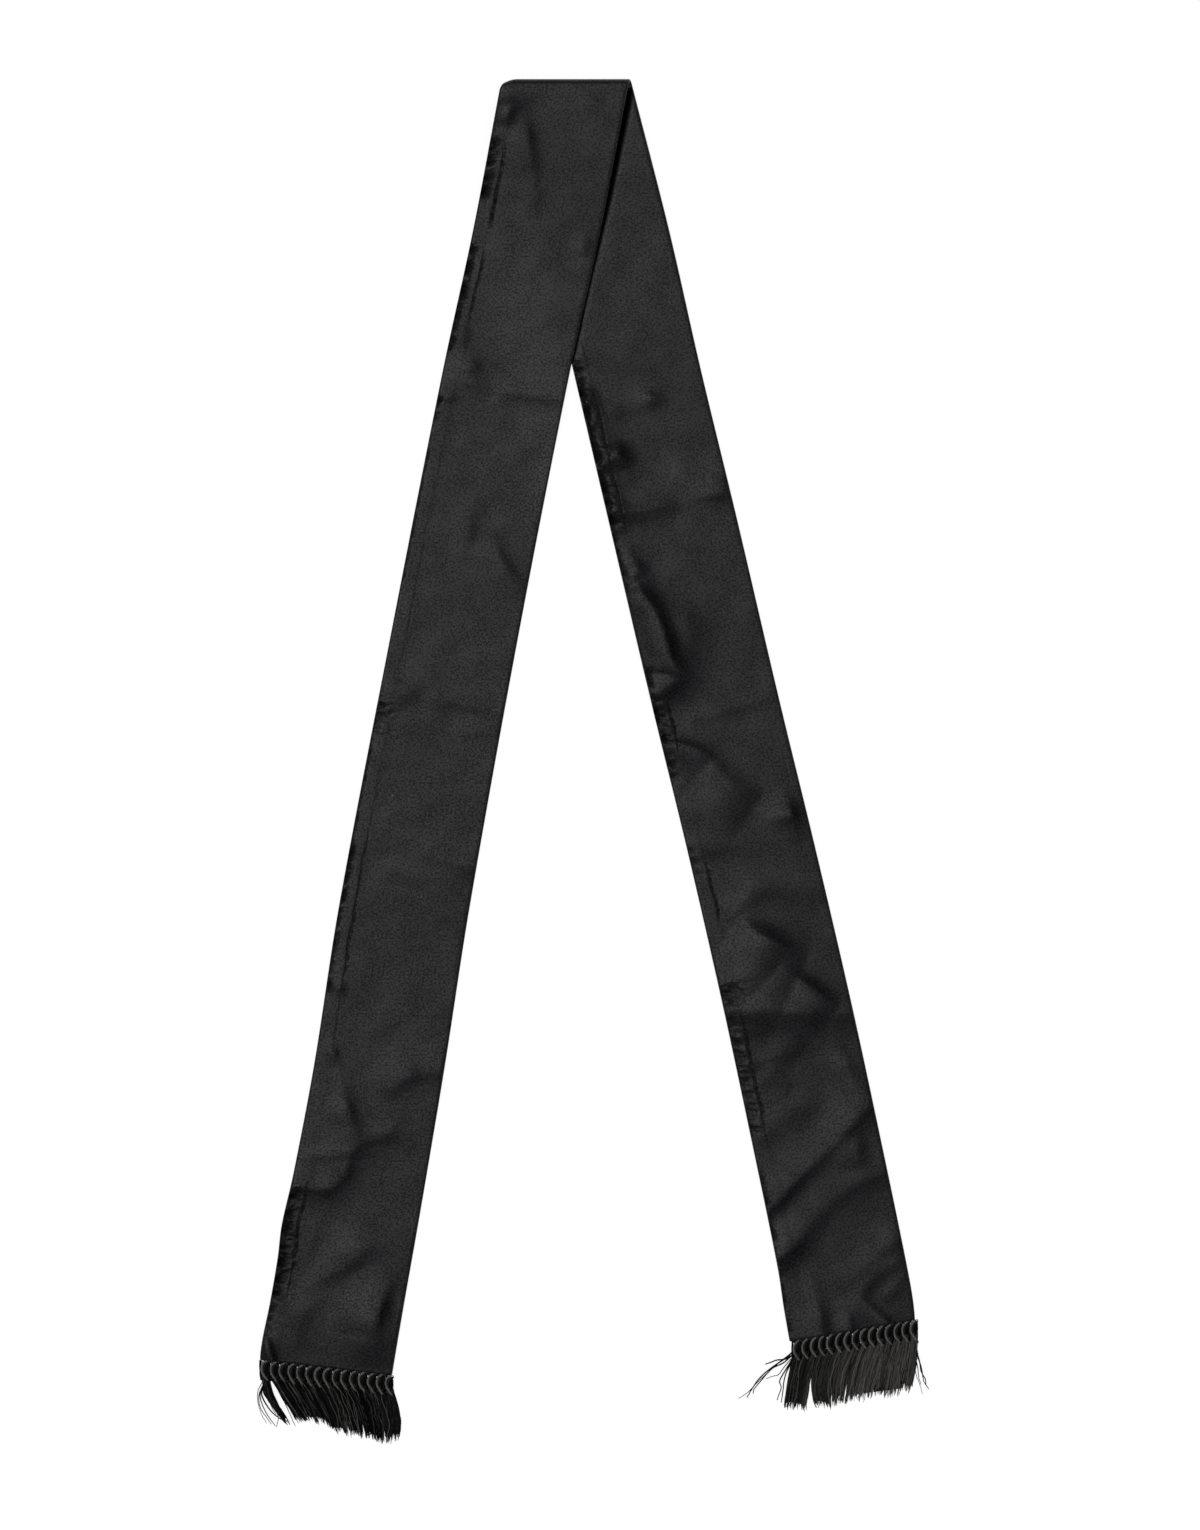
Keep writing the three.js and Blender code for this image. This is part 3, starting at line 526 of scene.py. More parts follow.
left_leg = make_leg(
    LEFT_LEG_EDGES,
    hem=LEFT_HEM,
    across_rise=LEFT_ACROSS_RISE,
    creases=LEFT_LEG_CREASES,
    seam=straight_table(LEFT_LEG_SEAM, "station", "depth"),
    puckers=LEFT_LEG_PUCKERS,
)
right_leg = make_leg(
    RIGHT_LEG_EDGES,
    hem=RIGHT_HEM,
    across_rise=RIGHT_ACROSS_RISE,
    creases=RIGHT_LEG_CREASES,
    seam=straight_table(RIGHT_LEG_SEAM, "station", "depth"),
    puckers=RIGHT_LEG_PUCKERS,
)


def near_edge(share, width):
    """1 at the edge of the cloth, 0 from a share `width` inwards."""
    return np.maximum(0, 1 - share / width) ** 2


def fold_line(u):
    return FOLD_LINE - FOLD_CORNER["drop"] * near_edge(u, FOLD_CORNER["width"])


def hem_line(leg, u):
    corner = HEM_CORNER["lift"] * near_edge(np.minimum(u, 1 - u), HEM_CORNER["width"])
    return leg["hem"]["y"] + leg["hem"]["rise"] * (u - 0.5) + corner


def on_leg(leg, row_y, u):
    """The place on a leg at share u of its width, on the row whose middle is at height row_y."""
    hem_y = leg["hem"]["y"]
    near_hem = 1 - smoothstep(row_y, hem_y, hem_y + HEM_TURNS_OVER)
    near_fold = smoothstep(row_y, FOLD_LINE - HEM_TURNS_OVER, FOLD_LINE)
    y = row_y + (hem_line(leg, u) - hem_y) * near_hem + (fold_line(u) - FOLD_LINE) * near_fold
    return lerp(leg["left"](y), leg["right"](y), u), y


def crease_relief(crease, u, station):
    """Height of one crease, which rises gently to its crest and falls steeply beyond it, and how strongly
    it falls."""
    points = crease["path"]
    path = smooth_path(points, 1 + CREASE_STEPS * (len(points) - 1)) * (WIDTH, 1, 1)
    gentle, steep = crease["gentle"], crease["steep"]
    nearest = np.full(u.shape, np.inf)
    across, past_end, strength = (np.zeros(u.shape) for _ in range(3))
    last = len(path) - 2
    for i in range(last + 1):
        start, along = path[i, :2], path[i + 1, :2] - path[i, :2]
        length = np.hypot(*along)
        from_x, from_y = u * WIDTH - start[0], station - start[1]
        share = (from_x * along[0] + from_y * along[1]) / length**2
        clamped = np.clip(share, 0 if i else -np.inf, 1 if i < last else np.inf)
        off_x, off_y = from_x - clamped * along[0], from_y - clamped * along[1]
        past = np.maximum(np.maximum(-share, share - 1), 0) * length
        inside = np.clip(share, 0, 1)
        distance = np.hypot(from_x - inside * along[0], from_y - inside * along[1])
        side = np.sign(along[0] * from_y - along[1] * from_x)
        closer = distance < nearest
        nearest = np.where(closer, distance, nearest)
        across = np.where(closer, side * np.hypot(off_x, off_y), across)
        past_end = np.where(closer, past if i in (0, last) else 0, past_end)
        strength = np.where(closer, lerp(path[i, 2], path[i + 1, 2], inside), strength)
    from_crest = across + steep / FOOT
    fall = FOOT * np.maximum(from_crest, 0) / steep
    rise = np.minimum(from_crest, 0) / gentle
    profile = (1 + fall) * np.exp(-fall - rise**2)
    strength = np.maximum(strength, 0) * np.exp(-((2 * past_end / (gentle + steep)) ** 2))
    return STEEPEST_FALL * steep * strength * profile, strength * fall * np.exp(1 - fall)


def relief(leg, u, station):
    """How far the cloth that shows stands above its plain wall, and how strongly it falls there."""
    from_edge = u * WIDTH
    height = SEAM_BAND["height"] * (1 - smoothstep(u, *SEAM_BAND["fades"]))
    for wave in WAVES:
        turn = 2 * math.pi * (from_edge / wave["across"] + station / wave["along"]) + wave["phase"]
        height = height + wave["height"] * np.sin(turn)
    strongest_fall = np.zeros(u.shape)
    for crease in leg["creases"]:
        crease_height, fall = crease_relief(crease, u, station)
        height = height + crease_height
        strongest_fall = np.maximum(strongest_fall, fall)
    return height, strongest_fall


def puckering(leg, u, station):
    """How strongly the cloth is puckered, from 0 to 1."""
    most = np.zeros(u.shape)
    for row in leg["puckers"]:
        above, over = (step_at(station, row[end], PUCKER_FADE) for end in ("bottom", "top"))
        inside = above * (1 - over)
        most = np.maximum(most, row["strength"] * inside * np.exp(-((u * WIDTH / row["reach"]) ** 2)))
    return most


def station_of(leg, u, y):
    """The station of a place on a leg, as the creases are measured."""
    return y - leg["across_rise"] * (u - 0.5)


def swelling(x, y):
    """How far the lower leg swells beside the upper leg, and the distance from its edge in slopes."""
    past_cover = x - left_leg["right"](y)
    share = smoothstep(y, SWELL["starts"], SWELL["full"])
    height = lerp(SWELL["least"], SWELL["most"], share) * step_at(y, CROTCH, SWELL_FADES["crotch"])
    rises_over = height / SWELL["slope"] + LEAST_SLOPE_WIDTH
    below_fold = smoothstep(FOLD_REACH - y, *SWELL_FADES["fold"])
    swell = height * smoothstep(past_cover, 0, rises_over) * below_fold
    return swell, np.clip(past_cover / rises_over, -CLEAR, CLEAR)


def thickness(leg, u, x, y):
    """Thickness of the wall with its relief, which is plain beside the fold and under other cloth, and how
    strongly it falls."""
    shown = smoothstep(fold_line(u) - y, 0, RELIEF_STARTS)
    swell = 0
    if leg is right_leg:
        shown = shown * smoothstep(x - left_leg["right"](y), *RELIEF_BESIDE_EDGE)
        swell, _ = swelling(x, y)
    height, fall = relief(leg, u, station_of(leg, u, y))
    return np.maximum(WALL + swell + shown * height, THINNEST_WALL), shown * fall


def underside(x, y, u):
    """Height of the upper leg's underside, which comes down from the fold to lower leg and floor."""
    loft = LOFT_AT_FOLD * (1 - smoothstep(fold_line(u) - y, 0, SETTLES_OVER))
    past_edge = right_leg["left"](y) - x
    return loft + (WALL + GAP) * (1 - smoothstep(past_edge, STEP_STARTS, STEP_ENDS))


def columns():
    """Shares of the width at which the mesh has its columns, closer together beside the seam."""
    rim = np.array(EDGE_COLUMNS) / WIDTH
    inner = EDGE_ROUNDING / WIDTH
    seam_side = np.linspace(inner, SEAM_SIDE_ENDS, SEAM_SIDE_COLUMNS, endpoint=False)
    plain = np.linspace(SEAM_SIDE_ENDS, 1 - inner, PLAIN_COLUMNS)
    return np.concatenate([rim, seam_side, plain, 1 - rim[::-1]])


def edge_lift(u, wall):
    """How much the rounded edge takes off each face."""
    from_edge = np.minimum(u, 1 - u) * WIDTH
    inwards = np.clip(1 - from_edge / EDGE_ROUNDING, 0, 1)
    return wall / 2 * (1 - np.sqrt(1 - inwards**2))


def leg_rows(leg):
    """Heights of a leg's rows from the hem to the fold."""
    hem_y = leg["hem"]["y"]
    return np.linspace(hem_y, FOLD_LINE, round((FOLD_LINE - hem_y) / ROW_STEP), endpoint=False)


def leg_face(leg, heights, u):
    """Places on a leg and the wall's thickness there, with what the rounded edge takes off each face."""
    row_y, u = np.broadcast_arrays(heights[:, None], u[None, :])
    x, y = on_leg(leg, row_y, u)
    wall, fall = thickness(leg, u, x, y)
    station = station_of(leg, u, y)
    marks = {
        "pucker": puckering(leg, u, station),
        "seam": leg["seam"](station),
        "clear": swelling(x, y)[1] if leg is right_leg else np.full(u.shape, CLEAR),
        "fall": fall,
    }
    return x, y, u, wall, edge_lift(u, wall), marks


def upper_leg_faces(heights, u):
    """The leg's outer face and inner face, and its marks. The outer face is the one that shows."""
    x, y, u, wall, lift, marks = leg_face(left_leg, heights, u)
    low = underside(x, y, u)
    return np.stack([x, y, low + wall - lift], axis=-1), np.stack([x, y, low + lift], axis=-1), marks


def lower_leg_faces(heights, u):
    """The leg's outer face and inner face, and its marks. The inner face is the one that shows."""
    x, y, u, wall, lift, marks = leg_face(right_leg, heights, u)
    return np.stack([x, y, lift], axis=-1), np.stack([x, y, wall - lift], axis=-1), marks


def fold_faces(turns, u):
    """The fold's outer face and inner face, and its marks."""
    turn, u = np.broadcast_arrays(turns[:, None], u[None, :])
    above_x, above_y = on_leg(left_leg, np.full(u.shape, FOLD_LINE), u)
    below_x, _ = on_leg(right_leg, np.full(u.shape, FOLD_LINE), u)
    x = lerp(above_x, below_x, turn / math.pi)
    lift = edge_lift(u, WALL)
    faces = []
    for radius in (FOLD_RADIUS + WALL / 2 - lift, FOLD_RADIUS - WALL / 2 + lift):
        y = above_y + radius * np.sin(turn)
        z = FOLD_RADIUS + WALL / 2 + radius * np.cos(turn)
        faces.append(np.stack([x, y, z], axis=-1))
    marks = {mark: np.full(u.shape, CLEAR if mark == "clear" else 0.0) for mark in MARKS}
    return *faces, marks


def link(obj):
    bpy.context.scene.collection.objects.link(obj)
    return obj


def make_mesh(name, points, faces, material):
    mesh = bpy.data.meshes.new(name)
    mesh.from_pydata((points * MM).tolist(), [], faces)
    mesh.materials.append(material)
    mesh.shade_smooth()
    mesh.update()
    return link(bpy.data.objects.new(name, mesh))


def ring_quads(rings, count):
    """Quads between rings of `count` points, facing out where a ring runs left to right over the top."""
    row, i = np.meshgrid(np.arange(rings - 1), np.arange(count), indexing="ij")
    a = row * count + i
    b = row * count + (i + 1) % count
    return np.stack([a, b, b + count, a + count], axis=-1).reshape(-1, 4)


def cap_quads(count, first):
    """Quads that close a ring: point i joins point count - i, so both edges end in a triangle."""
    half = count // 2
    faces = []
    for i in range(half):
        corner = [first + i, first + (count - i) % count, first + count - i - 1, first + i + 1]
        faces.append(list(dict.fromkeys(corner)))
    return faces


def round_the_ring(left, outside, right, inside):
    """Values in a ring's order: left edge, outer face, right edge, and the inner face back."""
    return np.concatenate([left[:, None], outside, right[:, None], inside[:, ::-1]], axis=1)


def satin_tube(material):
    """The whole cloth as one closed tube, with its marks and a UV map in metres across and along it."""
    u = columns()
    turns = np.linspace(0, math.pi, FOLD_STEPS + 1)
    parts = [
        upper_leg_faces(leg_rows(left_leg), u),
        fold_faces(turns, u),
        lower_leg_faces(leg_rows(right_leg)[::-1], u),
    ]
    outside, inside = (np.concatenate([part[k] for part in parts]) for k in range(2))
    rims = []
    for first, second in ((0, 1), (-1, -2)):
        rim = (outside[:, first] + inside[:, first]) / 2
        rim[:, :2] += (outside[:, first, :2] - outside[:, second, :2]) * RIM_BULGE
        rims.append(rim)
    rings = round_the_ring(rims[0], outside, rims[1], inside)
    rows, count = rings.shape[:2]
    quads = ring_quads(rows, count)
    last = (rows - 1) * count
    caps = cap_quads(count, 0) + [face[::-1] for face in cap_quads(count, last)]
    faces = quads.tolist() + caps
    tube = make_mesh("satin_tube", rings.reshape(-1, 3), faces, material)

    middle = outside[:, len(u) // 2]
    along = np.concatenate([[0], np.cumsum(np.linalg.norm(np.diff(middle, axis=0), axis=1))])
    across = np.concatenate([[0], u, [1], 2 - u[::-1], [2]]) * WIDTH
    uv = np.zeros((len(faces), 4, 2))
    row = np.repeat(np.arange(rows - 1), count)
    column = np.tile(np.arange(count), rows - 1)
    corners = [(0, 0), (1, 0), (1, 1), (0, 1)]
    for k, (right, down) in enumerate(corners):
        uv[: len(quads), k, 0] = across[column + right]
        uv[: len(quads), k, 1] = along[row + down]
    flat_uv = [uv[i, : len(face)] for i, face in enumerate(faces)]
    layer = tube.data.uv_layers.new(name="cloth")
    layer.data.foreach_set("uv", (np.concatenate(flat_uv) * MM).ravel())

    for name in MARKS:
        face = np.concatenate([part[2][name] for part in parts])
        mark = tube.data.attributes.new(name, "FLOAT", "POINT")
        values = round_the_ring(face[:, 0], face, face[:, -1], face)
        mark.data.foreach_set("value", values.astype(np.float32).ravel())
    return tube


def make_lanes(leg, fringe):
    """Where a fringe's tassels lie, one lane each, and the threads' length and tone in each."""
    columns_of = {
        name: straight_table(fringe["rows"], "number", name)
        for name in ("lean", "bow", "length", "fullness", "tone")
    }
    (left_x, right_x), _ = on_leg(leg, np.full(2, leg["hem"]["y"]), np.array([0.0, 1.0]))
    slope = leg["hem"]["rise"] / (right_x - left_x)
    middle = (left_x + right_x) / 2
    pitch = (fringe["last_knot"] - fringe["first_knot"]) / (TASSELS - 1)

    def hem_at(x):
        return leg["hem"]["y"] + slope * (x - middle)

    lanes = []
    for i in range(TASSELS):
        lane = {name: float(column(i + 1)) for name, column in columns_of.items()}
        lane["knot"] = fringe["first_knot"] + i * pitch
        lane["knot_half_width"] = (pitch - KNOT_CLEARANCE) / 2
        lane["hem_at"] = hem_at
        lanes.append(lane)
    return lanes


def lane_centre(lane, below):
    """Where the middle of a tassel is, `below` the hem."""
    share = np.clip((below - HEAD["length"]) / (lane["length"] - HEAD["length"]), 0, 1)
    return lane["knot"] + lane["lean"] * share + lane["bow"] * np.sin(math.pi * share)


def lane_half_width(lanes, i, below):
    """Half the width that a tassel's threads take up."""
    centre = lane_centre(lanes[i], below)
    widths = [np.full(np.shape(below), WIDEST_LOCK)]
    for neighbour in lanes[max(i - 1, 0) : i] + lanes[i + 1 : i + 2]:
        widths.append((np.abs(lane_centre(neighbour, below) - centre) - GAP) / 2)
    return np.min(widths, axis=0) * lanes[i]["fullness"]


def tube_mesh(paths, radii, sides):
    """Points and faces of round threads along the paths, an array of (thread, point, xyz)."""
    threads, count = paths.shape[:2]
    along = np.gradient(paths, axis=1)
    along /= np.linalg.norm(along, axis=2, keepdims=True)
    side = np.cross(along, (0, 0, 1))
    side /= np.linalg.norm(side, axis=2, keepdims=True)
    up = np.cross(side, along)
    angles = np.arange(sides) * 2 * math.pi / sides
    right, top = (turned(angles)[None, None, :, None] for turned in (np.cos, np.sin))
    ring = side[:, :, None] * right + up[:, :, None] * top
    points = paths[:, :, None] + ring * radii[:, :, None, None]
    quads = ring_quads(count, sides)
    faces = []
    for thread in range(threads):
        first = thread * count * sides
        faces += (quads + first).tolist()
        faces.append(list(range(first + sides - 1, first - 1, -1)))
        faces.append(list(range(first + (count - 1) * sides, first + count * sides)))
    return points.reshape(-1, 3), faces


def sway(random, count, below):
    """How far each of `count` strands has swung aside at each distance below the hem."""
    total = np.zeros((count, 1)) * below
    for length in WAVE_LENGTHS:
        phase = random.uniform(0, 2 * math.pi, (count, 1))
        strength = random.uniform(*SWAY_STRENGTHS, (count, 1)) * length / WAVE_LENGTHS[0]
        total += strength * np.sin(2 * math.pi * below / length + phase)
    return total


def lock_threads(lanes, i, random):
    """Paths, radii and tones of a tassel's threads, from inside the knot to their ragged ends."""
    lane = lanes[i]
    sizes = [THREADS_IN_STRAND] * STRANDS + [1] * LOOSE_THREADS
    strand = np.repeat(np.arange(len(sizes)), sizes)
    count = len(strand)
    loose = strand >= STRANDS
    even = (np.arange(STRANDS) + 0.5) / STRANDS * 2 - 1
    even = even + random.uniform(-PLACE_JITTER, PLACE_JITTER, STRANDS)
    place = np.concatenate([even, random.uniform(-1, 1, LOOSE_THREADS)])[strand][:, None]
    shorter = random.uniform(SHORTEST_STRAND, 1, len(sizes))[strand]
    shorter = shorter * random.uniform(SHORTEST_THREAD, 1, count)

    start = THREAD_STARTS * HEAD["length"]
    share = np.linspace(0, 1, THREAD_POINTS)[None, :]
    below = start + (lane["length"] * shorter[:, None] - start) * share
    opened = smoothstep(below - HEAD["length"], *LOCK_OPENS)
    half = lerp(NECK * lane["knot_half_width"], lane_half_width(lanes, i, below) * LOCK_SPREAD, opened)
    strand_half = half / STRANDS * STRAND_FILL

    angle = random.uniform(0, 2 * math.pi, (count, 1)) + STRAND_TWIST * below
    off = np.where(loose, 0, np.sqrt(random.uniform(0, 1, count)))[:, None] * strand_half
    aside = sway(random, len(sizes), below[:1])[strand] * np.where(loose, LOOSE_SWAY, STRAND_SWAY)[:, None]
    x = lane_centre(lane, below) + place * (half - strand_half) + off * np.cos(angle) + aside * opened
    y = lane["hem_at"](x) - below
    crown = np.sqrt(np.clip(1 - place**2, 0, 1))
    settles = lerp(1, TIP_SETTLES, share**2)
    pile = lerp(HEAD["neck_height"], LOCK_HEIGHT, opened) * settles
    lift = random.uniform(*STRAND_LIFT, len(sizes))[strand][:, None]
    z = strand_half + lift * crown * (pile - 2 * strand_half) + off * np.sin(angle)
    z = np.where(loose[:, None], LOOSE_HEIGHT * (1 + crown) / 2 * settles, z)
    radius = random.uniform(*THREAD_RADIUS, count)[:, None]
    radii = radius * np.where(share < 1, 1, THREAD_TIP)

    tones = lane["tone"] * random.uniform(*TONE_SPREADS["strand"], len(sizes))
    pale = random.uniform(0, 1, len(sizes)) < PALE_STRANDS
    tones = tones + pale * PALE_TONE * random.uniform(*TONE_SPREADS["pale_strand"], len(sizes))
    tones = tones[strand] * random.uniform(*TONE_SPREADS["thread"], count)
    return np.stack([x, y, np.maximum(z, radius) + FLOOR_GAP], axis=-1), radii, tones


def knot_strands(lane, random):
    """Paths and radii of the thick strands that show on a knot."""
    paths, radii = [], []

    def uneven(name, count=None):
        return random.uniform(-KNOT_UNEVEN[name], KNOT_UNEVEN[name], count)

    lean = uneven("lean")
    for strand in KNOT_STRANDS:
        points = np.array(strand["points"])
        points[:, 0] += uneven("across", len(points)) + lean
        points[:, 1] += uneven("along", len(points))
        path = smooth_path(points, STRAND_POINTS)
        x = lane["knot"] + path[:, 0] * lane["knot_half_width"]
        y = lane["hem_at"](x) - path[:, 1]
        z = path[:, 2] * HEAD["height"]
        paths.append(np.stack([x, y, z], axis=-1))
        radii.append(np.full(STRAND_POINTS, strand["radius"] * (1 + uneven("radius"))))
    return np.array(paths), np.array(radii)


def lens(lane, below, centre, half, high, groove):
    """Points and faces of a closed rounded form along a tassel, which lies on the floor."""
    angle = np.arange(CORE_SIDES) * 2 * math.pi / CORE_SIDES
    x = centre[:, None] + half[:, None] * groove * np.cos(angle)[None, :]
    z = high[:, None] / 2 * (1 + groove * np.sin(angle)[None, :])
    y = lane["hem_at"](x) - below[:, None]
    points = np.stack([x, y, np.maximum(z, FLOOR_GAP)], axis=-1).reshape(-1, 3)
    faces = ring_quads(len(below), CORE_SIDES)[:, ::-1].tolist()
    faces.append(list(range(CORE_SIDES)))
    faces.append(list(range(len(below) * CORE_SIDES - 1, (len(below) - 1) * CORE_SIDES - 1, -1)))
    return points, faces


def knot_core(lane, random):
    """A knot's core of twisted strands."""
    below = np.linspace(CORE_PROFILE[0]["below"], CORE_PROFILE[-1]["below"], CORE_STEPS)
    half = smooth_table(CORE_PROFILE, "below", "width")(below) * lane["knot_half_width"]
    high = smooth_table(CORE_PROFILE, "below", "height")(below) * HEAD["height"]
    angle = np.arange(CORE_SIDES) * 2 * math.pi / CORE_SIDES
    turn = CORE_TWIST * below[:, None] + random.uniform(0, 2 * math.pi)
    groove = 1 + CORE_GROOVE * (np.abs(np.sin(CORE_STRANDS / 2 * (angle[None, :] + turn))) - CORE_LEVEL)
    centre = lane_centre(lane, below) + CORE_SHIFT * lane["knot_half_width"]
    return lens(lane, below, centre, half, high, groove)


def lock_bed(lanes, i):
    """Points and faces of the form under a tassel's threads, dark with painted shade."""
    lane = lanes[i]
    below = np.linspace(BED["starts"], BED["ends"] * lane["length"], BED["steps"])
    share = np.linspace(0, 1, BED["steps"])
    narrowing = lerp(1, BED["narrows_to"], share ** BED["blunt"])
    half = lane_half_width(lanes, i, below) * BED["width"] * narrowing
    high = BED["height"] * lerp(1, BED["narrows_to"], share)
    return lens(lane, below, lane_centre(lane, below), half, high, 1)


def stray_threads(strays, random):
    """Paths and radii of single threads that have left their tassel and lie on the floor."""
    paths, radii = [], []
    for stray in strays:
        path = smooth_path(stray["points"], THREAD_POINTS)
        share = np.linspace(0, 1, THREAD_POINTS)
        path = path + np.cumsum(random.normal(0, STRAY["curl"], path.shape), axis=0) * share[:, None]
        z = stray["radius"] + STRAY["floor_gap"] + STRAY["leaves_at"] * (1 - share) ** 2
        paths.append(np.column_stack([path, z]))
        radii.append(stray["radius"] * lerp(*STRAY["taper"], share))
    return np.array(paths), np.array(radii)


def join(parts):
    """One mesh's points, faces and tones from several (points, faces, tone of each point)."""
    points, faces, tones = [], [], []
    count = 0
    for part_points, part_faces, part_tones in parts:
        points.append(part_points)
        tones.append(part_tones)
        faces += [[i + count for i in face] for face in part_faces]
        count += len(part_points)
    return np.concatenate(points), faces, np.concatenate(tones)


def thread_part(paths, radii, sides, tones):
    """Points and faces of threads, and the tone of each point."""
    points, faces = tube_mesh(paths, radii, sides)
    return points, faces, np.repeat(tones, paths.shape[1] * sides)


def make_tassel(name, lanes, i, strays, material, random):
    """One tassel: the knot's core and strands, its threads, and the strays that come from it."""
    parts = []
    # The core and the bed take the darkest tone as painted shade
    for points, faces in (knot_core(lanes[i], random), lock_bed(lanes, i)):
        parts.append((points, faces, np.full(len(points), PAINTED_SHADE_TONE)))
    strand_paths, strand_radii = knot_strands(lanes[i], random)
    strand_tones = np.array([strand["tone"] for strand in KNOT_STRANDS])
    parts.append(thread_part(strand_paths, strand_radii, STRAND_SIDES, strand_tones))
    paths, radii, tones = lock_threads(lanes, i, random)
    parts.append(thread_part(paths, radii, THREAD_SIDES, tones))
    if strays:
        paths, radii = stray_threads(strays, random)
        parts.append(thread_part(paths, radii, THREAD_SIDES, np.full(len(strays), STRAY["tone"])))
    points, faces, tones = join(parts)
    tassel = make_mesh(name, points, faces, material)
    tone = tassel.data.attributes.new("tone", "FLOAT", "POINT")
    tone.data.foreach_set("value", tones.astype(np.float32))
    return tassel


def make_fringe(side, leg, fringe, strays, material):
    """All tassels along the hem of one leg."""
    lanes = make_lanes(leg, fringe)
    tassels = []
    for i in range(TASSELS):
        number = f"{i + 1:02d}"
        random = np.random.default_rng([SEED, len(side), i])
        own_strays = [stray for stray in strays if stray["tassel"] == i + 1]
        tassel = make_tassel(f"threads_{side}_{number}", lanes, i, own_strays, material, random)
        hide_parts(f"tassel_{side}_{number}")
        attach(tassel, "root")
        tassels.append(tassel)
    return tassels


class Nodes:
    """Short calls for building the nodes of a material or of the sky."""

    def __init__(self, owner, shader="Principled BSDF"):
        owner.use_nodes = True
        self.tree = owner.node_tree
        self.shader = self.tree.nodes[shader]

    def add(self, kind, inputs=None, **settings):
        node = self.tree.nodes.new(kind)
        for key, value in settings.items():
            setattr(node, key, value)
        for key, value in (inputs or {}).items():
            self.connect(value, node.inputs[key])
        return node

    def connect(self, value, socket):
        if isinstance(value, bpy.types.NodeSocket):
            self.tree.links.new(value, socket)
        else:
            socket.default_value = value

    def mark(self, name):
        return self.add("ShaderNodeAttribute", attribute_name=name).outputs["Fac"]

    def noises(self, place, rows):
        """The noises of a table, by name."""
        fields = {}
        for row in rows:
            inputs = {key.title(): row[key] for key in ("scale", "detail", "roughness")}
            mapping = self.add("ShaderNodeMapping", {"Vector": place, "Scale": row["stretch"]})
            inputs["Vector"] = mapping.outputs["Vector"]
            fields[row["name"]] = self.add("ShaderNodeTexNoise", inputs).outputs["Fac"]
        return fields

    def math(self, operation, a, b=0.0):
        return self.add("ShaderNodeMath", {0: a, 1: b}, operation=operation).outputs[0]

    def spread(self, value, low, high, start=0.0, end=1.0):
        inputs = {"Value": value, "From Min": low, "From Max": high, "To Min": start, "To Max": end}
        return self.add("ShaderNodeMapRange", inputs).outputs["Result"]

    def mix(self, share, a, b):
        node = self.add("ShaderNodeMix", data_type="RGBA")
        for key, value in {"Factor": share, "A": a, "B": b}.items():
            self.connect(value, node.inputs[key])
        return node.outputs["Result"]

    def bump(self, height, depth, normal=None):
        """Relief of this depth in millimetres, which is below 0 where the height sinks in."""
        inputs = {"Height": height, "Distance": abs(depth) * MM, "Strength": 1.0}
        node = self.add("ShaderNodeBump", inputs, invert=depth < 0)
        if normal is not None:
            self.connect(normal, node.inputs["Normal"])
        return node.outputs["Normal"]

    def shade(self, **inputs):
        for key, value in inputs.items():
            self.connect(value, self.shader.inputs[key.replace("_", " ")])


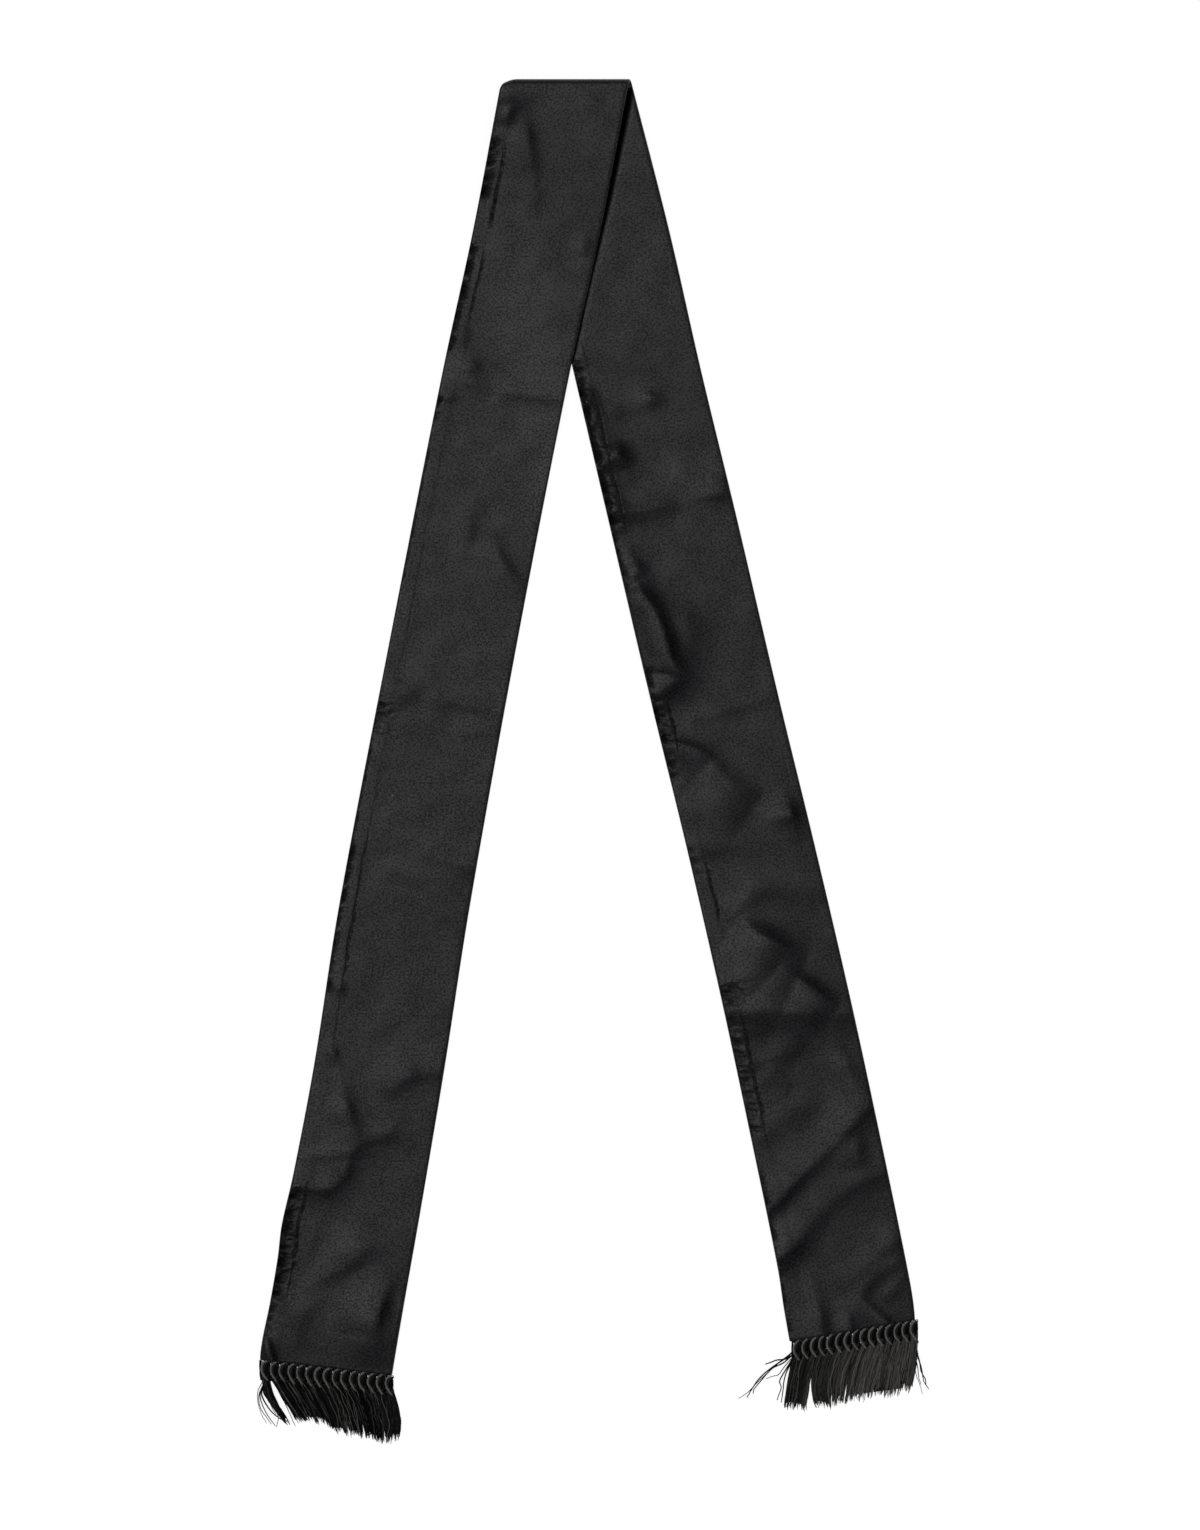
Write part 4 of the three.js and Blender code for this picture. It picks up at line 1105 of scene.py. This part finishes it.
def satin_material():
    """Satin: long floats along the cloth, an uneven grain, specks of lint, a stitched seam and puckers, with
    painted shade that darkens the colour and dims the gloss in dents, grooves, crease falls and beside the
    upper leg's edge.
    """
    material = bpy.data.materials.new("silk_satin")
    nodes = Nodes(material)
    calc = nodes.math
    cloth = nodes.add("ShaderNodeUVMap", uv_map="cloth").outputs["UV"]
    place = nodes.add("ShaderNodeSeparateXYZ", {"Vector": cloth}).outputs
    from_edge = calc("MINIMUM", place["X"], calc("SUBTRACT", 2 * WIDTH * MM, place["X"]))
    noise = nodes.noises(cloth, SATIN_NOISE)

    cells = nodes.add("ShaderNodeTexVoronoi", {"Vector": cloth, "Scale": LINT["cells"]}).outputs
    chance = nodes.add("ShaderNodeSeparateColor", {"Color": cells["Color"]}).outputs[0]
    small = calc("LESS_THAN", cells["Distance"], LINT["size"])
    lint = calc("MULTIPLY", calc("GREATER_THAN", chance, LINT["bare_cells"]), small)

    # The groove beside the seam, which strays a little and is deeper at some stitches; it sinks by bump and
    # takes painted shade
    strays = calc("MULTIPLY", calc("SUBTRACT", noise["strays"], 0.5), SEAM_GROOVE["strays"] * MM)
    off_groove = calc("SUBTRACT", from_edge, calc("ADD", SEAM_GROOVE["from_edge"] * MM, strays))
    off_groove = calc("DIVIDE", off_groove, SEAM_GROOVE["half_width"] * MM)
    beyond = calc("POWER", off_groove, SEAM_GROOVE["squareness"])
    in_groove = calc("DIVIDE", 1.0, calc("ADD", 1.0, beyond))
    seam = calc("MULTIPLY", nodes.mark("seam"), nodes.spread(noise["stitches"], *STITCHES))
    groove = calc("MULTIPLY", seam, in_groove)

    # Puckers: dents across the edge, of uneven length, which sink by bump and take painted shade
    dent = calc("MULTIPLY", nodes.mark("pucker"), nodes.spread(noise["dents"], *DENTS))

    # Painted shade: beside the upper leg's edge, in dents, in the groove and on steep crease falls the
    # colour darkens and the gloss dims
    painted_shade = nodes.spread(nodes.mark("clear"), *PAINTED_SHADE_ENDS, 1.0, 0.0)
    for dark in (calc("MAXIMUM", dent, groove), nodes.spread(nodes.mark("fall"), *SHADOW_ENDS)):
        painted_shade = calc("MAXIMUM", painted_shade, dark)
    grain, mottle = (calc("MULTIPLY", noise[name], share) for name, share in UNEVEN_SHARES.items())
    uneven = calc("ADD", grain, mottle)
    colour = nodes.mix(nodes.spread(uneven, *UNEVEN), SATIN_DARK, SATIN_LIGHT)
    colour = nodes.mix(painted_shade, colour, SATIN_PAINTED_SHADE)

    noise["dent"], noise["groove"] = dent, groove
    normal = None
    for name in ("mottle", "grain", "dent", "groove", "picks", "floats"):
        normal = nodes.bump(noise[name], BUMPS[name], normal)
    nodes.shade(
        Base_Color=nodes.mix(lint, colour, LINT["colour"]),
        Roughness=nodes.spread(uneven, *UNEVEN, *SATIN_ROUGHNESS),
        Specular_Tint=nodes.mix(painted_shade, FULL_GLOSS, PAINTED_SHADE_GLOSS),
        Normal=normal,
        Specular_IOR_Level=0.26,
        Sheen_Weight=0.02,
        Sheen_Roughness=0.4,
    )
    return material


def thread_material():
    """Twisted silk thread: each has its own tone, partly painted light and shade, with a fine twist and a
    soft gloss.
    """
    material = bpy.data.materials.new("silk_thread")
    nodes = Nodes(material)
    noise = nodes.noises(nodes.add("ShaderNodeTexCoord").outputs["Object"], THREAD_NOISE)
    shade = nodes.spread(noise["uneven"], *UNEVEN_THREAD, *THREAD_SHADES)
    nodes.shade(
        Base_Color=nodes.mix(nodes.math("MULTIPLY", nodes.mark("tone"), shade), THREAD_DARK, THREAD_LIGHT),
        Roughness=nodes.spread(noise["uneven"], *UNEVEN_THREAD, *THREAD_ROUGHNESS),
        Normal=nodes.bump(noise["twist"], BUMPS["twist"]),
        Specular_IOR_Level=0.1,
        Sheen_Weight=0.02,
        Sheen_Roughness=0.5,
    )
    return material


def floor_material():
    """A matt white sheet that is lit from within a little, so that shadows on it stay pale."""
    material = bpy.data.materials.new("floor")
    nodes = Nodes(material)
    noise = nodes.noises(nodes.add("ShaderNodeTexCoord").outputs["Object"], FLOOR_NOISE)
    nodes.shade(
        Base_Color=FLOOR_COLOUR,
        Roughness=0.9,
        Emission_Color=FLOOR_LIGHT,
        Emission_Strength=FLOOR_GLOW,
        Normal=nodes.bump(noise["paper"], BUMPS["paper"]),
        Specular_IOR_Level=0.1,
    )
    return material


def add_floor():
    half = FLOOR_SIDE / 2 / MM
    corners = np.array([(-half, -half, 0), (half, -half, 0), (half, half, 0), (-half, half, 0)], float)
    floor = make_mesh("floor", corners, [[0, 1, 2, 3]], floor_material())


def add_sky():
    """Pale at the horizon and darker overhead, so that the satin reflects little but the soft light."""
    world = bpy.data.worlds.new("studio")
    bpy.context.scene.world = world
    nodes = Nodes(world, "Background")
    place = nodes.add("ShaderNodeTexCoord").outputs["Generated"]
    rise = nodes.add("ShaderNodeSeparateXYZ", {"Vector": place}).outputs["Z"]
    nodes.shade(Color=nodes.mix(nodes.spread(rise, 0.0, SKY_DARKENS_UP_TO), SKY_HORIZON, SKY_OVERHEAD))


def add_soft_light():
    light = bpy.data.lights.new("soft_light", "SUN")
    light.angle = math.radians(SOFT_LIGHT["spread"])
    light.energy = SOFT_LIGHT["strength"]
    lamp = link(bpy.data.objects.new("soft_light", light))
    off_zenith, azimuth = math.radians(SOFT_LIGHT["off_zenith"]), math.radians(SOFT_LIGHT["azimuth"])
    lamp.rotation_euler = (0, off_zenith, azimuth)


def add_camera():
    optics = bpy.data.cameras.new("camera")
    optics.sensor_fit = "AUTO"
    optics.sensor_width = SENSOR
    optics.lens = SENSOR * CAMERA_HEIGHT / PICTURE_HEIGHT
    camera = link(bpy.data.objects.new("camera", optics))
    camera.location = (PICTURE_CENTRE_X, 0, CAMERA_HEIGHT)
    bpy.context.scene.camera = camera


add_camera()
add_sky()
add_soft_light()
add_floor()
bpy.context.scene.view_settings.view_transform = "Standard"

cloth = satin_tube(satin_material())
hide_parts("silk_tube")
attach(cloth, "root")

thread = thread_material()
fringes = make_fringe("left", left_leg, LEFT_FRINGE, LEFT_STRAYS, thread)
fringes += make_fringe("right", right_leg, RIGHT_FRINGE, RIGHT_STRAYS, thread)
